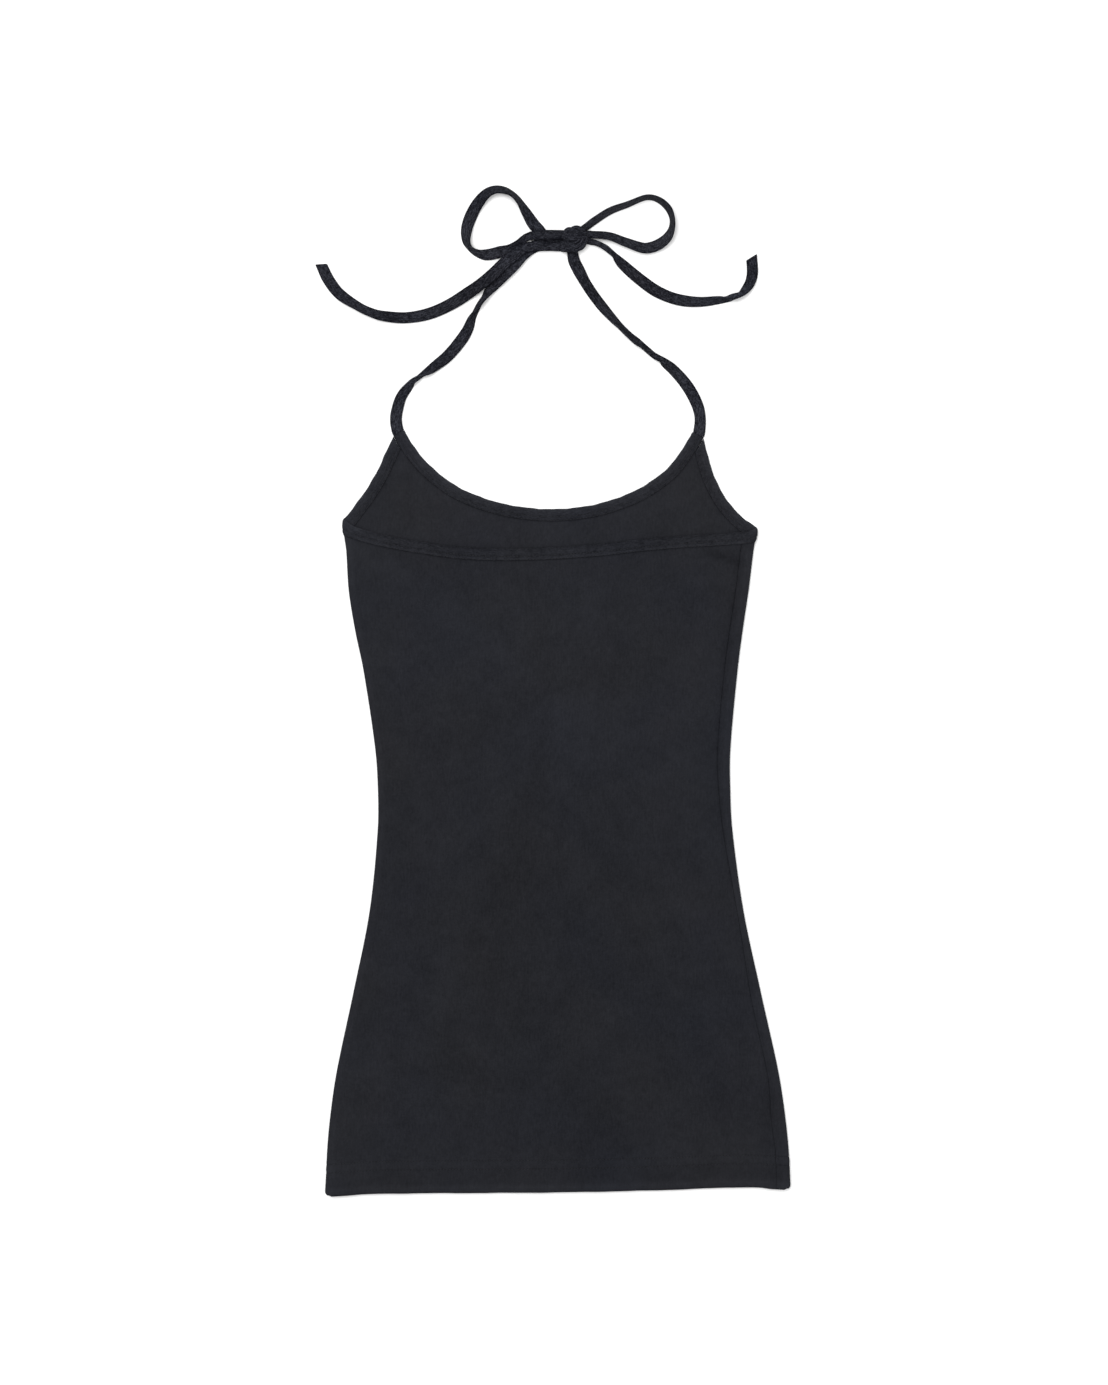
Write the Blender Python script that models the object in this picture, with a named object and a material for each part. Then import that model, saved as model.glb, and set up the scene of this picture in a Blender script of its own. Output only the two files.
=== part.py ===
"""Halter neck top of fine jersey, laid flat on its front with the neck ties in a bow.

The body is a flattened tube: the front panel lies on the surface, the back panel lies on
it, and both turn through a narrow fold at either side.  Places on the body are given by
girth and height.  Girth runs across the upper layer as x, and on round a side fold onto
the under layer.  +X is right, +Y is up the garment and +Z is up from the surface.
"""
import math

import bmesh
import bpy
import numpy as np

MM = 0.001

# Cloth, in millimetres
CLOTH = 1.0                # wall of a panel
HEM_CLOTH = 1.7            # wall where the hem is turned up
HEM_HEIGHT = 28.0          # height of the turned hem
HEM_STEP = 10.0            # height over which the hem thins out to the panel
SEAM_GAP = 0.3             # clearance between two pieces
LINE_GAP = 0.4             # clearance along a curved seam, whose chords narrow it
CUT_GAP = 0.62             # clearance where the armhole binding is cut along the neck's
CUT_LENGTH = 15.0          # length of that cut
BINDING_WIDTH = 11.0       # folded binding, free edge to seam
BINDING_DEPTH = 1.8

# Side folds
EDGE_PUFF = 1.1            # how far the layers part at a side fold
PUFF_FLAT = 15.5           # inset from the fold over which they stay parted
PUFF_EASE = 12.0           # inset over which they close again
LEFT_TURN = 5.0            # back panel turned under at the left
FOLD_STEPS = 6
LEFT_TURN_STEPS = 4

# Outline of the body: height, and x of the left and right folds
BODY_SIDES = (
    (-445.0, -200.8, 208.4),
    (-404.0, -199.5, 206.6),
    (-369.0, -196.2, 202.9),
    (-333.0, -190.8, 197.2),
    (-263.0, -176.0, 181.7),
    (-193.0, -162.1, 166.8),
    (-122.0, -155.0, 157.0),
    (-87.0, -154.8, 155.2),
    (-52.0, -157.0, 155.2),
    (18.0, -167.4, 161.5),
    (54.0, -174.9, 166.1),
    (89.0, -180.5, 171.3),
    (124.0, -182.7, 175.6),
    (142.0, -185.0, 178.3),
    (230.0, -185.0, 178.3),
)

# Hem: x and height
HEM_LINE = (
    (-202.0, -444.8),
    (-184.0, -443.5),
    (-150.0, -441.8),
    (-60.0, -441.2),
    (0.0, -440.7),
    (60.0, -439.6),
    (110.0, -438.2),
    (165.0, -436.2),
    (208.0, -437.6),
)

# Front panel turned over at the right: height, and width of the turned cloth
RIGHT_TURN = (
    (-412.0, 9.7),
    (-377.0, 11.0),
    (-342.0, 8.6),
    (-271.0, 8.2),
    (-201.0, 4.2),
    (-131.0, 6.2),
    (-60.0, 9.5),
    (115.0, 9.7),
)

# Free edges of the bindings: x and height
LEFT_ARMHOLE = (
    (-149.5, 206.8),
    (-155.1, 194.5),
    (-165.5, 176.9),
    (-171.9, 168.1),
    (-177.2, 161.0),
    (-182.7, 154.0),
)
BACK_EDGE = (
    (-177.7, 146.5),
    (-161.8, 140.8),
    (-135.4, 135.1),
    (-109.0, 130.7),
    (-82.6, 127.2),
    (-47.4, 125.7),
    (-3.4, 126.7),
    (40.6, 129.8),
    (75.8, 133.8),
    (111.0, 136.8),
    (155.0, 139.5),
    (172.6, 141.5),
)
RIGHT_ARMHOLE = (
    (169.4, 150.5),
    (161.5, 157.5),
    (155.2, 164.6),
    (147.0, 176.9),
    (139.3, 194.5),
)
NECK_EDGE = (
    (-131.5, 229.9),
    (-124.4, 217.3),
    (-110.4, 200.2),
    (-89.2, 183.0),
    (-68.1, 172.6),
    (-40.0, 164.3),
    (-4.8, 160.5),
    (30.4, 163.4),
    (58.6, 171.3),
    (79.7, 181.3),
    (100.8, 197.3),
    (114.9, 216.3),
    (122.0, 228.2),
)

# Ties, each a folded strip.  Columns: x, y, lift of its lowest point, width, depth, and
# roll in degrees.  A strip that turns over is gathered nearly round at the turn.
STRAP_LEFT = (
    (-136.5, 227.6, 0.0, 10.6, 1.8, 0.0),
    (-137.4, 229.2, 0.0, 10.6, 1.8, 0.0),
    (-138.9, 238.0, 0.0, 10.5, 1.8, 0.0),
    (-138.2, 246.2, 0.0, 10.5, 1.8, 0.0),
    (-133.9, 259.7, 0.0, 9.3, 2.1, 10.0),
    (-125.4, 271.0, 0.0, 6.8, 3.0, 45.0),
    (-120.0, 275.7, 0.0, 4.8, 4.0, 90.0),
    (-114.0, 279.9, 0.0, 6.2, 3.0, 135.0),
    (-105.0, 285.8, 0.0, 9.0, 2.1, 172.0),
    (-93.5, 295.0, 0.0, 10.5, 1.8, 180.0),
    (-81.6, 309.0, 0.0, 10.5, 1.8, 180.0),
    (-75.5, 319.0, 0.0, 9.6, 2.0, 188.0),
    (-71.2, 330.0, 0.0, 6.4, 3.0, 225.0),
    (-65.8, 340.0, 0.0, 4.9, 3.8, 270.0),
    (-60.0, 348.5, 0.0, 6.8, 2.9, 318.0),
    (-53.3, 356.3, 0.0, 9.0, 2.0, 352.0),
    (-45.5, 364.3, 0.0, 9.6, 1.8, 360.0),
    (-35.6, 374.2, 0.0, 9.6, 1.8, 360.0),
    (-26.4, 384.4, 0.0, 9.4, 1.8, 360.0),
    (-16.6, 391.4, 0.0, 10.4, 1.8, 360.0),
    (-5.2, 392.5, 0.0, 11.3, 1.8, 360.0),
    (6.9, 392.5, 0.0, 11.3, 1.8, 360.0),
)
STRAP_RIGHT = (
    (126.9, 225.8, 0.0, 10.4, 1.8, 0.0),
    (127.7, 227.2, 0.0, 10.4, 1.8, 0.0),
    (128.7, 240.0, 0.0, 9.9, 1.8, 0.0),
    (126.2, 252.0, 0.0, 10.4, 1.8, 0.0),
    (117.1, 269.0, 0.0, 10.4, 1.8, 0.0),
    (104.7, 283.4, 0.0, 9.0, 2.1, -12.0),
    (97.0, 289.7, 0.0, 7.2, 2.8, -45.0),
    (89.1, 295.1, 0.0, 5.1, 3.8, -90.0),
    (81.4, 300.9, 0.0, 5.6, 3.4, -120.0),
    (73.9, 307.2, 0.0, 6.4, 3.0, -150.0),
    (66.4, 313.5, 0.0, 5.6, 3.4, -165.0),
    (59.4, 320.3, 0.0, 5.4, 3.4, -180.0),
    (52.6, 327.3, 0.0, 6.8, 2.9, -180.0),
    (39.8, 342.1, 0.0, 9.2, 2.1, -180.0),
    (28.6, 358.1, 0.0, 9.2, 2.1, -180.0),
    (21.6, 371.0, 0.0, 10.2, 1.8, -180.0),
    (18.0, 379.0, 0.0, 9.8, 1.8, -180.0),
    (16.9, 386.2, 0.0, 9.0, 1.8, -180.0),
)
TAIL_LEFT = (
    (6.0, 391.2, 2.2, 7.6, 1.8, 0.0),
    (-8.0, 391.5, 2.2, 8.2, 1.8, 0.0),
    (-20.0, 391.2, 2.6, 8.8, 1.8, 0.0),
    (-29.0, 388.2, 3.0, 9.8, 1.8, 0.0),
    (-36.6, 382.2, 2.9, 10.4, 1.8, 0.0),
    (-44.2, 376.2, 2.6, 10.5, 1.8, 0.0),
    (-53.4, 367.2, 2.6, 10.5, 1.8, 0.0),
    (-63.0, 359.1, 2.3, 10.5, 1.8, 0.0),
    (-73.7, 351.9, 1.0, 10.5, 1.8, 0.0),
    (-91.2, 340.4, 0.0, 10.5, 1.8, 0.0),
    (-110.1, 332.3, 0.0, 10.4, 1.8, 0.0),
    (-130.5, 328.8, 0.0, 10.0, 1.8, 0.0),
    (-151.4, 330.5, 0.0, 9.4, 2.0, 14.0),
    (-161.3, 333.5, 0.0, 8.4, 2.2, 24.0),
    (-170.8, 338.0, 0.0, 8.0, 2.3, 26.0),
    (-188.2, 349.4, 0.0, 9.8, 1.9, 10.0),
    (-198.4, 362.4, 0.0, 10.2, 1.8, 0.0),
    (-204.0, 376.4, 0.0, 9.4, 1.8, 0.0),
)
TAIL_RIGHT = (
    (32.0, 395.3, 0.0, 6.6, 2.6, 40.0),
    (40.3, 393.3, 0.0, 5.6, 3.0, 60.0),
    (48.4, 388.2, 0.0, 4.9, 3.4, 90.0),
    (55.1, 381.5, 0.0, 6.9, 2.8, 135.0),
    (61.7, 374.7, 0.0, 9.3, 2.1, 170.0),
    (75.8, 362.4, 0.0, 10.5, 1.8, 180.0),
    (91.3, 351.6, 0.0, 10.5, 1.8, 180.0),
    (109.0, 344.8, 0.0, 10.2, 1.8, 180.0),
    (128.0, 342.7, 0.0, 8.9, 2.1, 190.0),
    (147.0, 344.6, 0.0, 6.8, 2.7, 225.0),
    (157.0, 346.7, 0.0, 5.4, 3.4, 270.0),
    (165.7, 350.8, 0.0, 6.6, 2.8, 315.0),
    (172.1, 358.7, 0.0, 9.0, 2.1, 352.0),
    (174.6, 368.0, 0.0, 9.8, 1.8, 360.0),
    (174.0, 381.4, 0.0, 10.0, 1.8, 360.0),
)
LOOP_LEFT = (
    (-9.6, 401.6, 0.0, 8.2, 1.8, 0.0),
    (-13.2, 405.6, 0.0, 9.2, 1.8, 0.0),
    (-18.0, 411.2, 0.0, 9.9, 1.8, 8.0),
    (-24.2, 421.0, 0.0, 10.2, 1.8, 32.0),
    (-30.5, 431.0, 0.0, 9.8, 1.9, 62.0),
    (-36.5, 437.2, 0.0, 9.8, 1.9, 66.0),
    (-44.0, 440.8, 0.0, 9.8, 1.9, 60.0),
    (-51.5, 441.2, 0.0, 10.0, 1.8, 50.0),
    (-59.1, 438.2, 0.0, 10.2, 1.8, 36.0),
    (-67.0, 429.6, 0.0, 10.4, 1.8, 14.0),
    (-72.7, 418.9, 0.0, 10.5, 1.8, 0.0),
    (-76.3, 407.6, 0.0, 10.4, 1.8, 8.0),
    (-76.7, 396.5, 0.0, 8.6, 2.2, 36.0),
    (-73.1, 389.4, 0.0, 6.4, 2.8, 56.0),
    (-66.8, 385.6, 0.0, 7.4, 2.5, 36.0),
    (-59.0, 384.4, 0.0, 9.4, 2.0, 10.0),
    (-47.6, 387.2, 0.0, 9.4, 1.8, 0.0),
    (-38.4, 390.0, 0.0, 8.6, 1.8, 0.0),
    (-30.6, 393.8, 0.1, 8.0, 1.8, 0.0),
    (-24.6, 399.0, 0.4, 7.0, 1.8, 0.0),
    (-18.4, 401.0, 2.0, 8.0, 1.8, 0.0),
    (-13.5, 401.4, 2.2, 8.8, 1.8, 0.0),
    (-7.8, 401.5, 2.2, 8.8, 1.8, 0.0),
    (6.0, 401.4, 2.2, 8.6, 1.8, 0.0),
)
LOOP_RIGHT = (
    (28.4, 408.4, 0.0, 8.6, 2.2, 52.0),
    (35.9, 414.2, 0.0, 9.6, 2.0, 58.0),
    (49.4, 422.9, 0.0, 10.0, 1.9, 62.0),
    (64.5, 428.5, 0.0, 10.0, 1.9, 68.0),
    (79.6, 434.2, 0.0, 10.0, 1.9, 72.0),
    (87.3, 434.4, 0.0, 10.0, 1.9, 72.0),
    (95.1, 430.9, 0.0, 10.0, 1.9, 68.0),
    (101.2, 424.4, 0.0, 10.0, 1.9, 66.0),
    (104.2, 416.3, 0.0, 10.0, 1.9, 72.0),
    (103.7, 407.7, 0.0, 10.0, 1.9, 66.0),
    (100.1, 400.1, 0.0, 10.2, 1.8, 45.0),
    (94.4, 394.5, 0.0, 10.4, 1.8, 24.0),
    (87.0, 391.0, 0.0, 10.4, 1.8, 14.0),
    (79.0, 390.2, 0.0, 10.0, 1.9, 20.0),
    (63.6, 395.4, 0.0, 9.0, 2.1, 30.0),
    (48.5, 400.4, 0.0, 8.4, 2.2, 30.0),
    (32.5, 402.0, 0.0, 7.6, 2.4, 30.0),
)
TIE_STEP = 4.8             # spacing of a tie's sections

# Knot: a gathered wrap round the meeting strands
KNOT_CENTRE = (19.4, 397.3)
KNOT_SIZE = (25.2, 23.4, 9.4)
KNOT_TURNS = 3             # ridges of the wrapped strip
KNOT_RIDGE = 0.05          # height of a ridge as a share of the knot's radius
KNOT_SLANT = 0.9           # how far the ridges lean along the knot
KNOT_SQUARENESS = 0.84     # 1 for a round knot, less for a blunter one
KNOT_RINGS = 14
KNOT_SIDES = 20

# Division of the walls
HEM_ROWS = (0.0, 9.0, 18.0, 28.0, 33.0, 38.0, 52.0)
BODY_ROWS = 9
BACK_COLUMNS = 24
BACK_CROWDING = 0.6        # how far the back panel's columns crowd to its sides
COLUMN_SPACING = 3.0       # least spacing of the front panel's columns
BINDING_STEP = 8.5         # spacing of a binding's sections
BINDING_FOLD_STEP = 0.9    # the same where it turns over a side fold
FOLD_SHARE = 0.3           # their spacing near the fold as a share of the distance to it
FOLD_NEAR = 6.0            # distance from a fold within which a binding's section runs up and down
FOLD_EASE = 10.0           # distance over which it turns square to the edge again
END_EASE = 16.0            # distance over which an end cut turns square
HEADING_REACH = 0.2        # distance ahead and behind over which a route's heading is taken
SHOULDER_ANGLE = 60.0      # degrees round a strip's edge at which its section has a corner
CREASE_ANGLE = 50.0        # degrees between faces that show as an edge
SEARCH_STEPS = 40          # steps of each search by halving

# Surface of each kind of cloth: colour and roughness
BODY_COLOUR = (0.021, 0.022, 0.027)
BINDING_COLOUR = (0.023, 0.024, 0.029)
TIE_COLOUR = (0.025, 0.027, 0.033)
CLOTH_ROUGHNESS = 0.92

LEFT, RIGHT = -1, 1


def smooth(value):
    """Ease from 0 to 1 as the value does, flat outside."""
    value = min(1.0, max(0.0, value))
    return value * value * (3.0 - 2.0 * value)


class Track:
    """A smooth curve through a table's values, read at any place between its ends.

    A steady curve never swings past the values on either side.
    """

    def __init__(self, places, values, steady=False):
        self.places = np.array(places, dtype=float)
        self.values = np.array(values, dtype=float)
        secants = np.diff(self.values) / np.diff(self.places)
        self.slopes = np.empty_like(self.values)
        self.slopes[0], self.slopes[-1] = secants[0], secants[-1]
        before, after = secants[:-1], secants[1:]
        if steady:
            level = before * after <= 0.0
            total = np.where(level, 1.0, before + after)
            self.slopes[1:-1] = np.where(level, 0.0, 2.0 * before * after / total)
        else:
            spans = self.places[2:] - self.places[:-2]
            self.slopes[1:-1] = (self.values[2:] - self.values[:-2]) / spans

    def at(self, place):
        """Value of the curve at one place."""
        place = min(self.places[-1], max(self.places[0], place))
        row = int(np.searchsorted(self.places, place, side="right")) - 1
        row = min(row, len(self.places) - 2)
        span = self.places[row + 1] - self.places[row]
        t = (place - self.places[row]) / span
        start, end = self.values[row], self.values[row + 1]
        rise, fall = self.slopes[row] * span, self.slopes[row + 1] * span
        return (start * (2 * t ** 3 - 3 * t ** 2 + 1) + rise * (t ** 3 - 2 * t ** 2 + t)
                + end * (3 * t ** 2 - 2 * t ** 3) + fall * (t ** 3 - t ** 2))


class Route:
    """A plane curve through points, read by the distance along their chords."""

    def __init__(self, points):
        steps = [math.dist(a, b) for a, b in zip(points, points[1:])]
        self.places = np.concatenate(([0.0], np.cumsum(steps)))
        self.length = self.places[-1]
        self.across = Track(self.places, [point[0] for point in points])
        self.along = Track(self.places, [point[1] for point in points])

    def point(self, place):
        return np.array((self.across.at(place), self.along.at(place)))

    def heading(self, place):
        """Unit vector along the route."""
        ahead = self.point(min(self.length, place + HEADING_REACH))
        behind = self.point(max(0.0, place - HEADING_REACH))
        return (ahead - behind) / np.linalg.norm(ahead - behind)


def columns(table):
    """A table's columns, one list each."""
    return [list(column) for column in zip(*table)]


SIDE_ROWS = columns(BODY_SIDES)
SIDE_TRACKS = {LEFT: Track(SIDE_ROWS[0], SIDE_ROWS[1]), RIGHT: Track(SIDE_ROWS[0], SIDE_ROWS[2])}
HEM_TRACK = Track(*columns(HEM_LINE))
TURN_TRACK = Track(*columns(RIGHT_TURN))


def wall(x, y):
    """Thickness of a panel at a place on either flat layer, which grows at the turned hem."""
    height = y - HEM_TRACK.at(x)
    return HEM_CLOTH + (CLOTH - HEM_CLOTH) * smooth((height - HEM_HEIGHT) / HEM_STEP)


def upper_level(inset, x, y):
    """Height of the upper layer's lower face, at an inset from the side fold."""
    parted = 1.0 - smooth((inset - PUFF_FLAT) / PUFF_EASE)
    return wall(x, y) + SEAM_GAP + EDGE_PUFF * parted


def fold_radius(side, y):
    """Radius of a side fold, to the middle of its wall."""
    return 0.5 * upper_level(0.0, SIDE_TRACKS[side].at(y), y)


def fold_x(side, y):
    """Where the flat layers end and the side fold begins."""
    edge = SIDE_TRACKS[side].at(y)
    return edge - side * (fold_radius(side, y) + 0.5 * wall(edge, y))


def under_girth(side, x, y):
    """Girth of a place on the under layer, reached round one side."""
    fold = fold_x(side, y)
    return fold + side * (math.pi * fold_radius(side, y) + abs(fold - x))


def under_x(side, girth, y):
    """The x of a girth that lies on the under layer."""
    fold = fold_x(side, y)
    return fold - side * (abs(girth - fold) - math.pi * fold_radius(side, y))


def flat_x(girth, y):
    """The x of any girth, with a side fold's taken as that of the fold."""
    for side in (LEFT, RIGHT):
        if side * (girth - fold_x(side, y)) > 0.0:
            fold = fold_x(side, y)
            turned = max(0.0, abs(girth - fold) - math.pi * fold_radius(side, y))
            return fold - side * turned
    return girth


def lay(girth, y, thickness, out):
    """Point of a wall laid round the flattened body, out from the wall's middle."""
    left, right = fold_x(LEFT, y), fold_x(RIGHT, y)
    if left <= girth <= right:
        inset = min(girth - left, right - girth)
        return (girth, y, upper_level(inset, girth, y) + 0.5 * thickness + out)
    side = RIGHT if girth > right else LEFT
    fold = right if side == RIGHT else left
    radius = fold_radius(side, y)
    over = abs(girth - fold)
    if over < math.pi * radius:
        angle = over / radius
        reach = radius + out
        x = fold + side * reach * math.sin(angle)
        return (x, y, 0.5 * thickness + radius + reach * math.cos(angle))
    return (under_x(side, girth, y), y, 0.5 * thickness - out)


def new_object(name, bm, colour):
    """Finish a mesh as one named object in metres, with its own material."""
    bmesh.ops.recalc_face_normals(bm, faces=bm.faces)
    bmesh.ops.triangulate(bm, faces=bm.faces)
    bmesh.ops.scale(bm, vec=(MM, MM, MM), verts=bm.verts)
    mesh = bpy.data.meshes.new(name)
    bm.to_mesh(mesh)
    bm.free()
    mesh.shade_smooth()
    mesh.set_sharp_from_angle(angle=math.radians(CREASE_ANGLE))
    material = bpy.data.materials.new(name + "_cloth")
    material.use_nodes = True
    surface = material.node_tree.nodes["Principled BSDF"]
    surface.inputs["Base Color"].default_value = (*colour, 1.0)
    surface.inputs["Roughness"].default_value = CLOTH_ROUGHNESS
    surface.inputs["Metallic"].default_value = 0.0
    material.diffuse_color = (*colour, 1.0)
    mesh.materials.append(material)
    made = bpy.data.objects.new(name, mesh)
    bpy.context.collection.objects.link(made)
    return made


def loft(name, rings, colour):
    """Closed solid through a list of rings of points, with a face at either end."""
    bm = bmesh.new()
    loops = [[bm.verts.new(point) for point in ring] for ring in rings]
    count = len(loops[0])
    for first, second in zip(loops, loops[1:]):
        for i in range(count):
            j = (i + 1) % count
            bm.faces.new((first[i], first[j], second[j], second[i]))
    bm.faces.new(loops[0])
    bm.faces.new(loops[-1])
    return new_object(name, bm, colour)


def stadium(width, depth):
    """Section of a folded strip: flat faces between two round edges, as offsets."""
    end, bulge = 0.5 * (width - depth), 0.5 * depth
    slope = math.radians(SHOULDER_ANGLE)
    shoulder = (end + bulge * math.cos(slope), bulge * math.sin(slope))
    return [(0.5 * width, 0.0), shoulder, (0.0, bulge), (-shoulder[0], shoulder[1]),
            (-0.5 * width, 0.0), (-shoulder[0], -shoulder[1]), (0.0, -bulge),
            (shoulder[0], -shoulder[1])]


def wall_panel(name, grid, colour):
    """Closed wall of cloth from a grid of (girth, height) places, column by column."""
    bm = bmesh.new()
    layers = []
    for sign in (0.5, -0.5):
        layer = []
        for column in grid:
            verts = []
            for girth, y in column:
                thickness = wall(flat_x(girth, y), y)
                verts.append(bm.verts.new(lay(girth, y, thickness, sign * thickness)))
            layer.append(verts)
        layers.append(layer)
    outer, inner = layers
    last_column, last_row = len(outer) - 1, len(outer[0]) - 1
    for layer in layers:
        for i in range(last_column):
            for j in range(last_row):
                bm.faces.new((layer[i][j], layer[i + 1][j], layer[i + 1][j + 1], layer[i][j + 1]))
    for i in range(last_column):
        for j in (0, last_row):
            bm.faces.new((outer[i][j], outer[i + 1][j], inner[i + 1][j], inner[i][j]))
    for j in range(last_row):
        for i in (0, last_column):
            bm.faces.new((outer[i][j], outer[i][j + 1], inner[i][j + 1], inner[i][j]))
    return new_object(name, bm, colour)


def armhole_route(neck):
    """Free edge of the long binding: left armhole, back edge and right armhole.

    Either end starts at the neck binding's seam, where the strap point narrows into the tie.
    """
    left_end, right_end = (seam_point(neck, place, CUT_GAP) for place in (0.0, neck.length))
    points = [(under_girth(LEFT, x, y), y) for x, y in (tuple(left_end), *LEFT_ARMHOLE)]
    points += list(BACK_EDGE)
    points += [(under_girth(RIGHT, x, y), y) for x, y in (*RIGHT_ARMHOLE, tuple(right_end))]
    return Route(points)


def end_cuts(neck):
    """Directions of the long binding's end cuts, along the neck's seam, in girth and height."""
    cuts = []
    for end, later in ((0.0, CUT_LENGTH), (neck.length, neck.length - CUT_LENGTH)):
        line = seam_point(neck, later, CUT_GAP) - seam_point(neck, end, CUT_GAP)
        # On the under layer girth runs against x
        cuts.append(np.array((-line[0], line[1])) / np.linalg.norm(line))
    return cuts


def fold_distance(girth, y):
    """Distance along the girth from the middle of the nearer side fold."""
    return min(abs(girth - fold_x(side, y) - side * 0.5 * math.pi * fold_radius(side, y))
               for side in (LEFT, RIGHT))


def binding_stations(route, by_fold):
    """Places along a binding, ever closer together towards a side fold that it turns over."""
    places, place = [], 0.0
    while place < route.length - 0.5 * BINDING_STEP:
        places.append(place)
        step = BINDING_STEP
        if by_fold:
            step = min(step, max(BINDING_FOLD_STEP, FOLD_SHARE * fold_distance(*route.point(place))))
        place += step
    places.append(route.length)
    return places


def inward(route, place, cut):
    """Direction and stretch of the line across a binding, from its free edge to its seam.

    Across a side fold the line runs straight down the garment, along the fold.  At the
    ends it follows the cut, and elsewhere it is square to the edge.
    """
    heading = route.heading(place)
    square = np.array((heading[1], -heading[0]))
    line = square
    if cut:
        girth, y = route.point(place)
        fold_share = 1.0 - smooth((fold_distance(girth, y) - FOLD_NEAR) / FOLD_EASE)
        line = square + fold_share * (np.array((0.0, -1.0)) - square)
        for end, from_end in ((cut[0], place), (cut[1], route.length - place)):
            end_share = 1.0 - smooth(from_end / END_EASE)
            line = line + end_share * (end - line)
        line = line / np.linalg.norm(line)
    return line / float(np.dot(line, square))


def seam_point(route, place, gap, cut=None):
    """Place just beyond a binding's seam."""
    return route.point(place) + (BINDING_WIDTH + gap) * inward(route, place, cut)


def binding(name, route, places, cut, put):
    """Folded strip along a free edge, laid by a function of across, along and out."""
    rings = []
    for place in places:
        edge, line = route.point(place), inward(route, place, cut)
        ring = []
        for offset, out in stadium(BINDING_WIDTH, BINDING_DEPTH):
            spot = edge + (0.5 * BINDING_WIDTH - offset) * line
            ring.append(put(spot[0], spot[1], out))
        rings.append(ring)
    return loft(name, rings, BINDING_COLOUR)


def tie(name, table):
    """Folded strip through a table of sections, lying on the surface or on other strands."""
    x, y, lift, width, depth, roll = columns(table)
    route = Route(list(zip(x, y)))
    lifts, widths, depths, rolls = (
        Track(route.places, column, steady=True) for column in (lift, width, depth, roll))
    count = max(2, round(route.length / TIE_STEP))
    rings = []
    for step in range(count + 1):
        place = route.length * step / count
        centre, heading = route.point(place), route.heading(place)
        beside = np.array((-heading[1], heading[0]))
        angle = math.radians(rolls.at(place))
        turn, climb = math.cos(angle), math.sin(angle)
        section = [(w * turn - d * climb, w * climb + d * turn)
                   for w, d in stadium(widths.at(place), depths.at(place))]
        lowest = min(up for _, up in section)
        ring = []
        for side_shift, up in section:
            spot = centre + side_shift * beside
            ring.append((spot[0], spot[1], lifts.at(place) - lowest + up))
        rings.append(ring)
    return loft(name, rings, TIE_COLOUR)


def settle(seam, girth_of):
    """Height at which a column of changing girth meets the long binding's seam."""
    girths, heights = columns(seam)
    y = heights[len(heights) // 2]
    for _ in range(SEARCH_STEPS):
        y = 0.5 * (y + float(np.interp(girth_of(y), girths, heights)))
    return y


def front_columns(armhole_seam, neck_seam):
    """Columns of the front panel, from its turned right edge across to the left seam."""
    corner = settle(armhole_seam, lambda y: under_girth(RIGHT, fold_x(RIGHT, y), y))
    edges = {}
    for side in (LEFT, RIGHT):
        line = [(under_x(side, girth, y), y) for girth, y in armhole_seam
                if side * girth > 0 and side * (girth - under_girth(side, fold_x(side, y), y)) > 0]
        edges[side] = sorted((float(x), float(y)) for x, y in line)
    neck = sorted((float(x), float(y)) for x, y in neck_seam)

    def under_top(x):
        """Top of the front panel on the under layer, below whichever binding is lower."""
        return min(float(np.interp(x, *columns(line))) for line in (edges[LEFT], neck, edges[RIGHT]))

    def peak(side):
        """The strap point, where the armhole's seam meets the neck's."""
        near, far = edges[side][len(edges[side]) // 2][0], 0.0
        for _ in range(SEARCH_STEPS):
            middle = 0.5 * (near + far)
            arm, neckline = (float(np.interp(middle, *columns(line))) for line in (edges[side], neck))
            if arm < neckline:
                near = middle
            else:
                far = middle
        return near

    right_peak, left_peak = peak(RIGHT), peak(LEFT)
    right_limit = fold_x(RIGHT, corner)
    left_limit = fold_x(LEFT, corner) + LEFT_TURN + SEAM_GAP
    tops = [right_peak, left_peak, left_limit]
    for line, low, high in ((edges[RIGHT], right_peak, right_limit), (neck, left_peak, right_peak),
                            (edges[LEFT], left_limit, left_peak)):
        for x, _ in line:
            clear = min(abs(x - other) for other in tops + [right_limit])
            if low < x < high and clear > COLUMN_SPACING:
                tops.append(x)
    tops.sort(reverse=True)

    made = []
    for share in (1.0, 0.5, 0.0):
        def turned(y, share=share):
            return fold_x(RIGHT, y) - share * TURN_TRACK.at(y)
        made.append(column_places(turned, settle(armhole_seam, turned)))
    for step in range(1, FOLD_STEPS + 1):
        def folded(y, step=step):
            return fold_x(RIGHT, y) + math.pi * fold_radius(RIGHT, y) * step / FOLD_STEPS
        made.append(column_places(folded, settle(armhole_seam, folded)))
    for x_top in tops:
        y_top = under_top(x_top)
        left_top, right_top = fold_x(LEFT, y_top), fold_x(RIGHT, y_top)
        share = (x_top - left_top - LEFT_TURN - SEAM_GAP) / (right_top - left_top - LEFT_TURN - SEAM_GAP)

        def across(y, share=share):
            left = fold_x(LEFT, y) + LEFT_TURN + SEAM_GAP
            return under_girth(RIGHT, left + share * (fold_x(RIGHT, y) - left), y)
        made.append(column_places(across, y_top))
    return made


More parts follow.
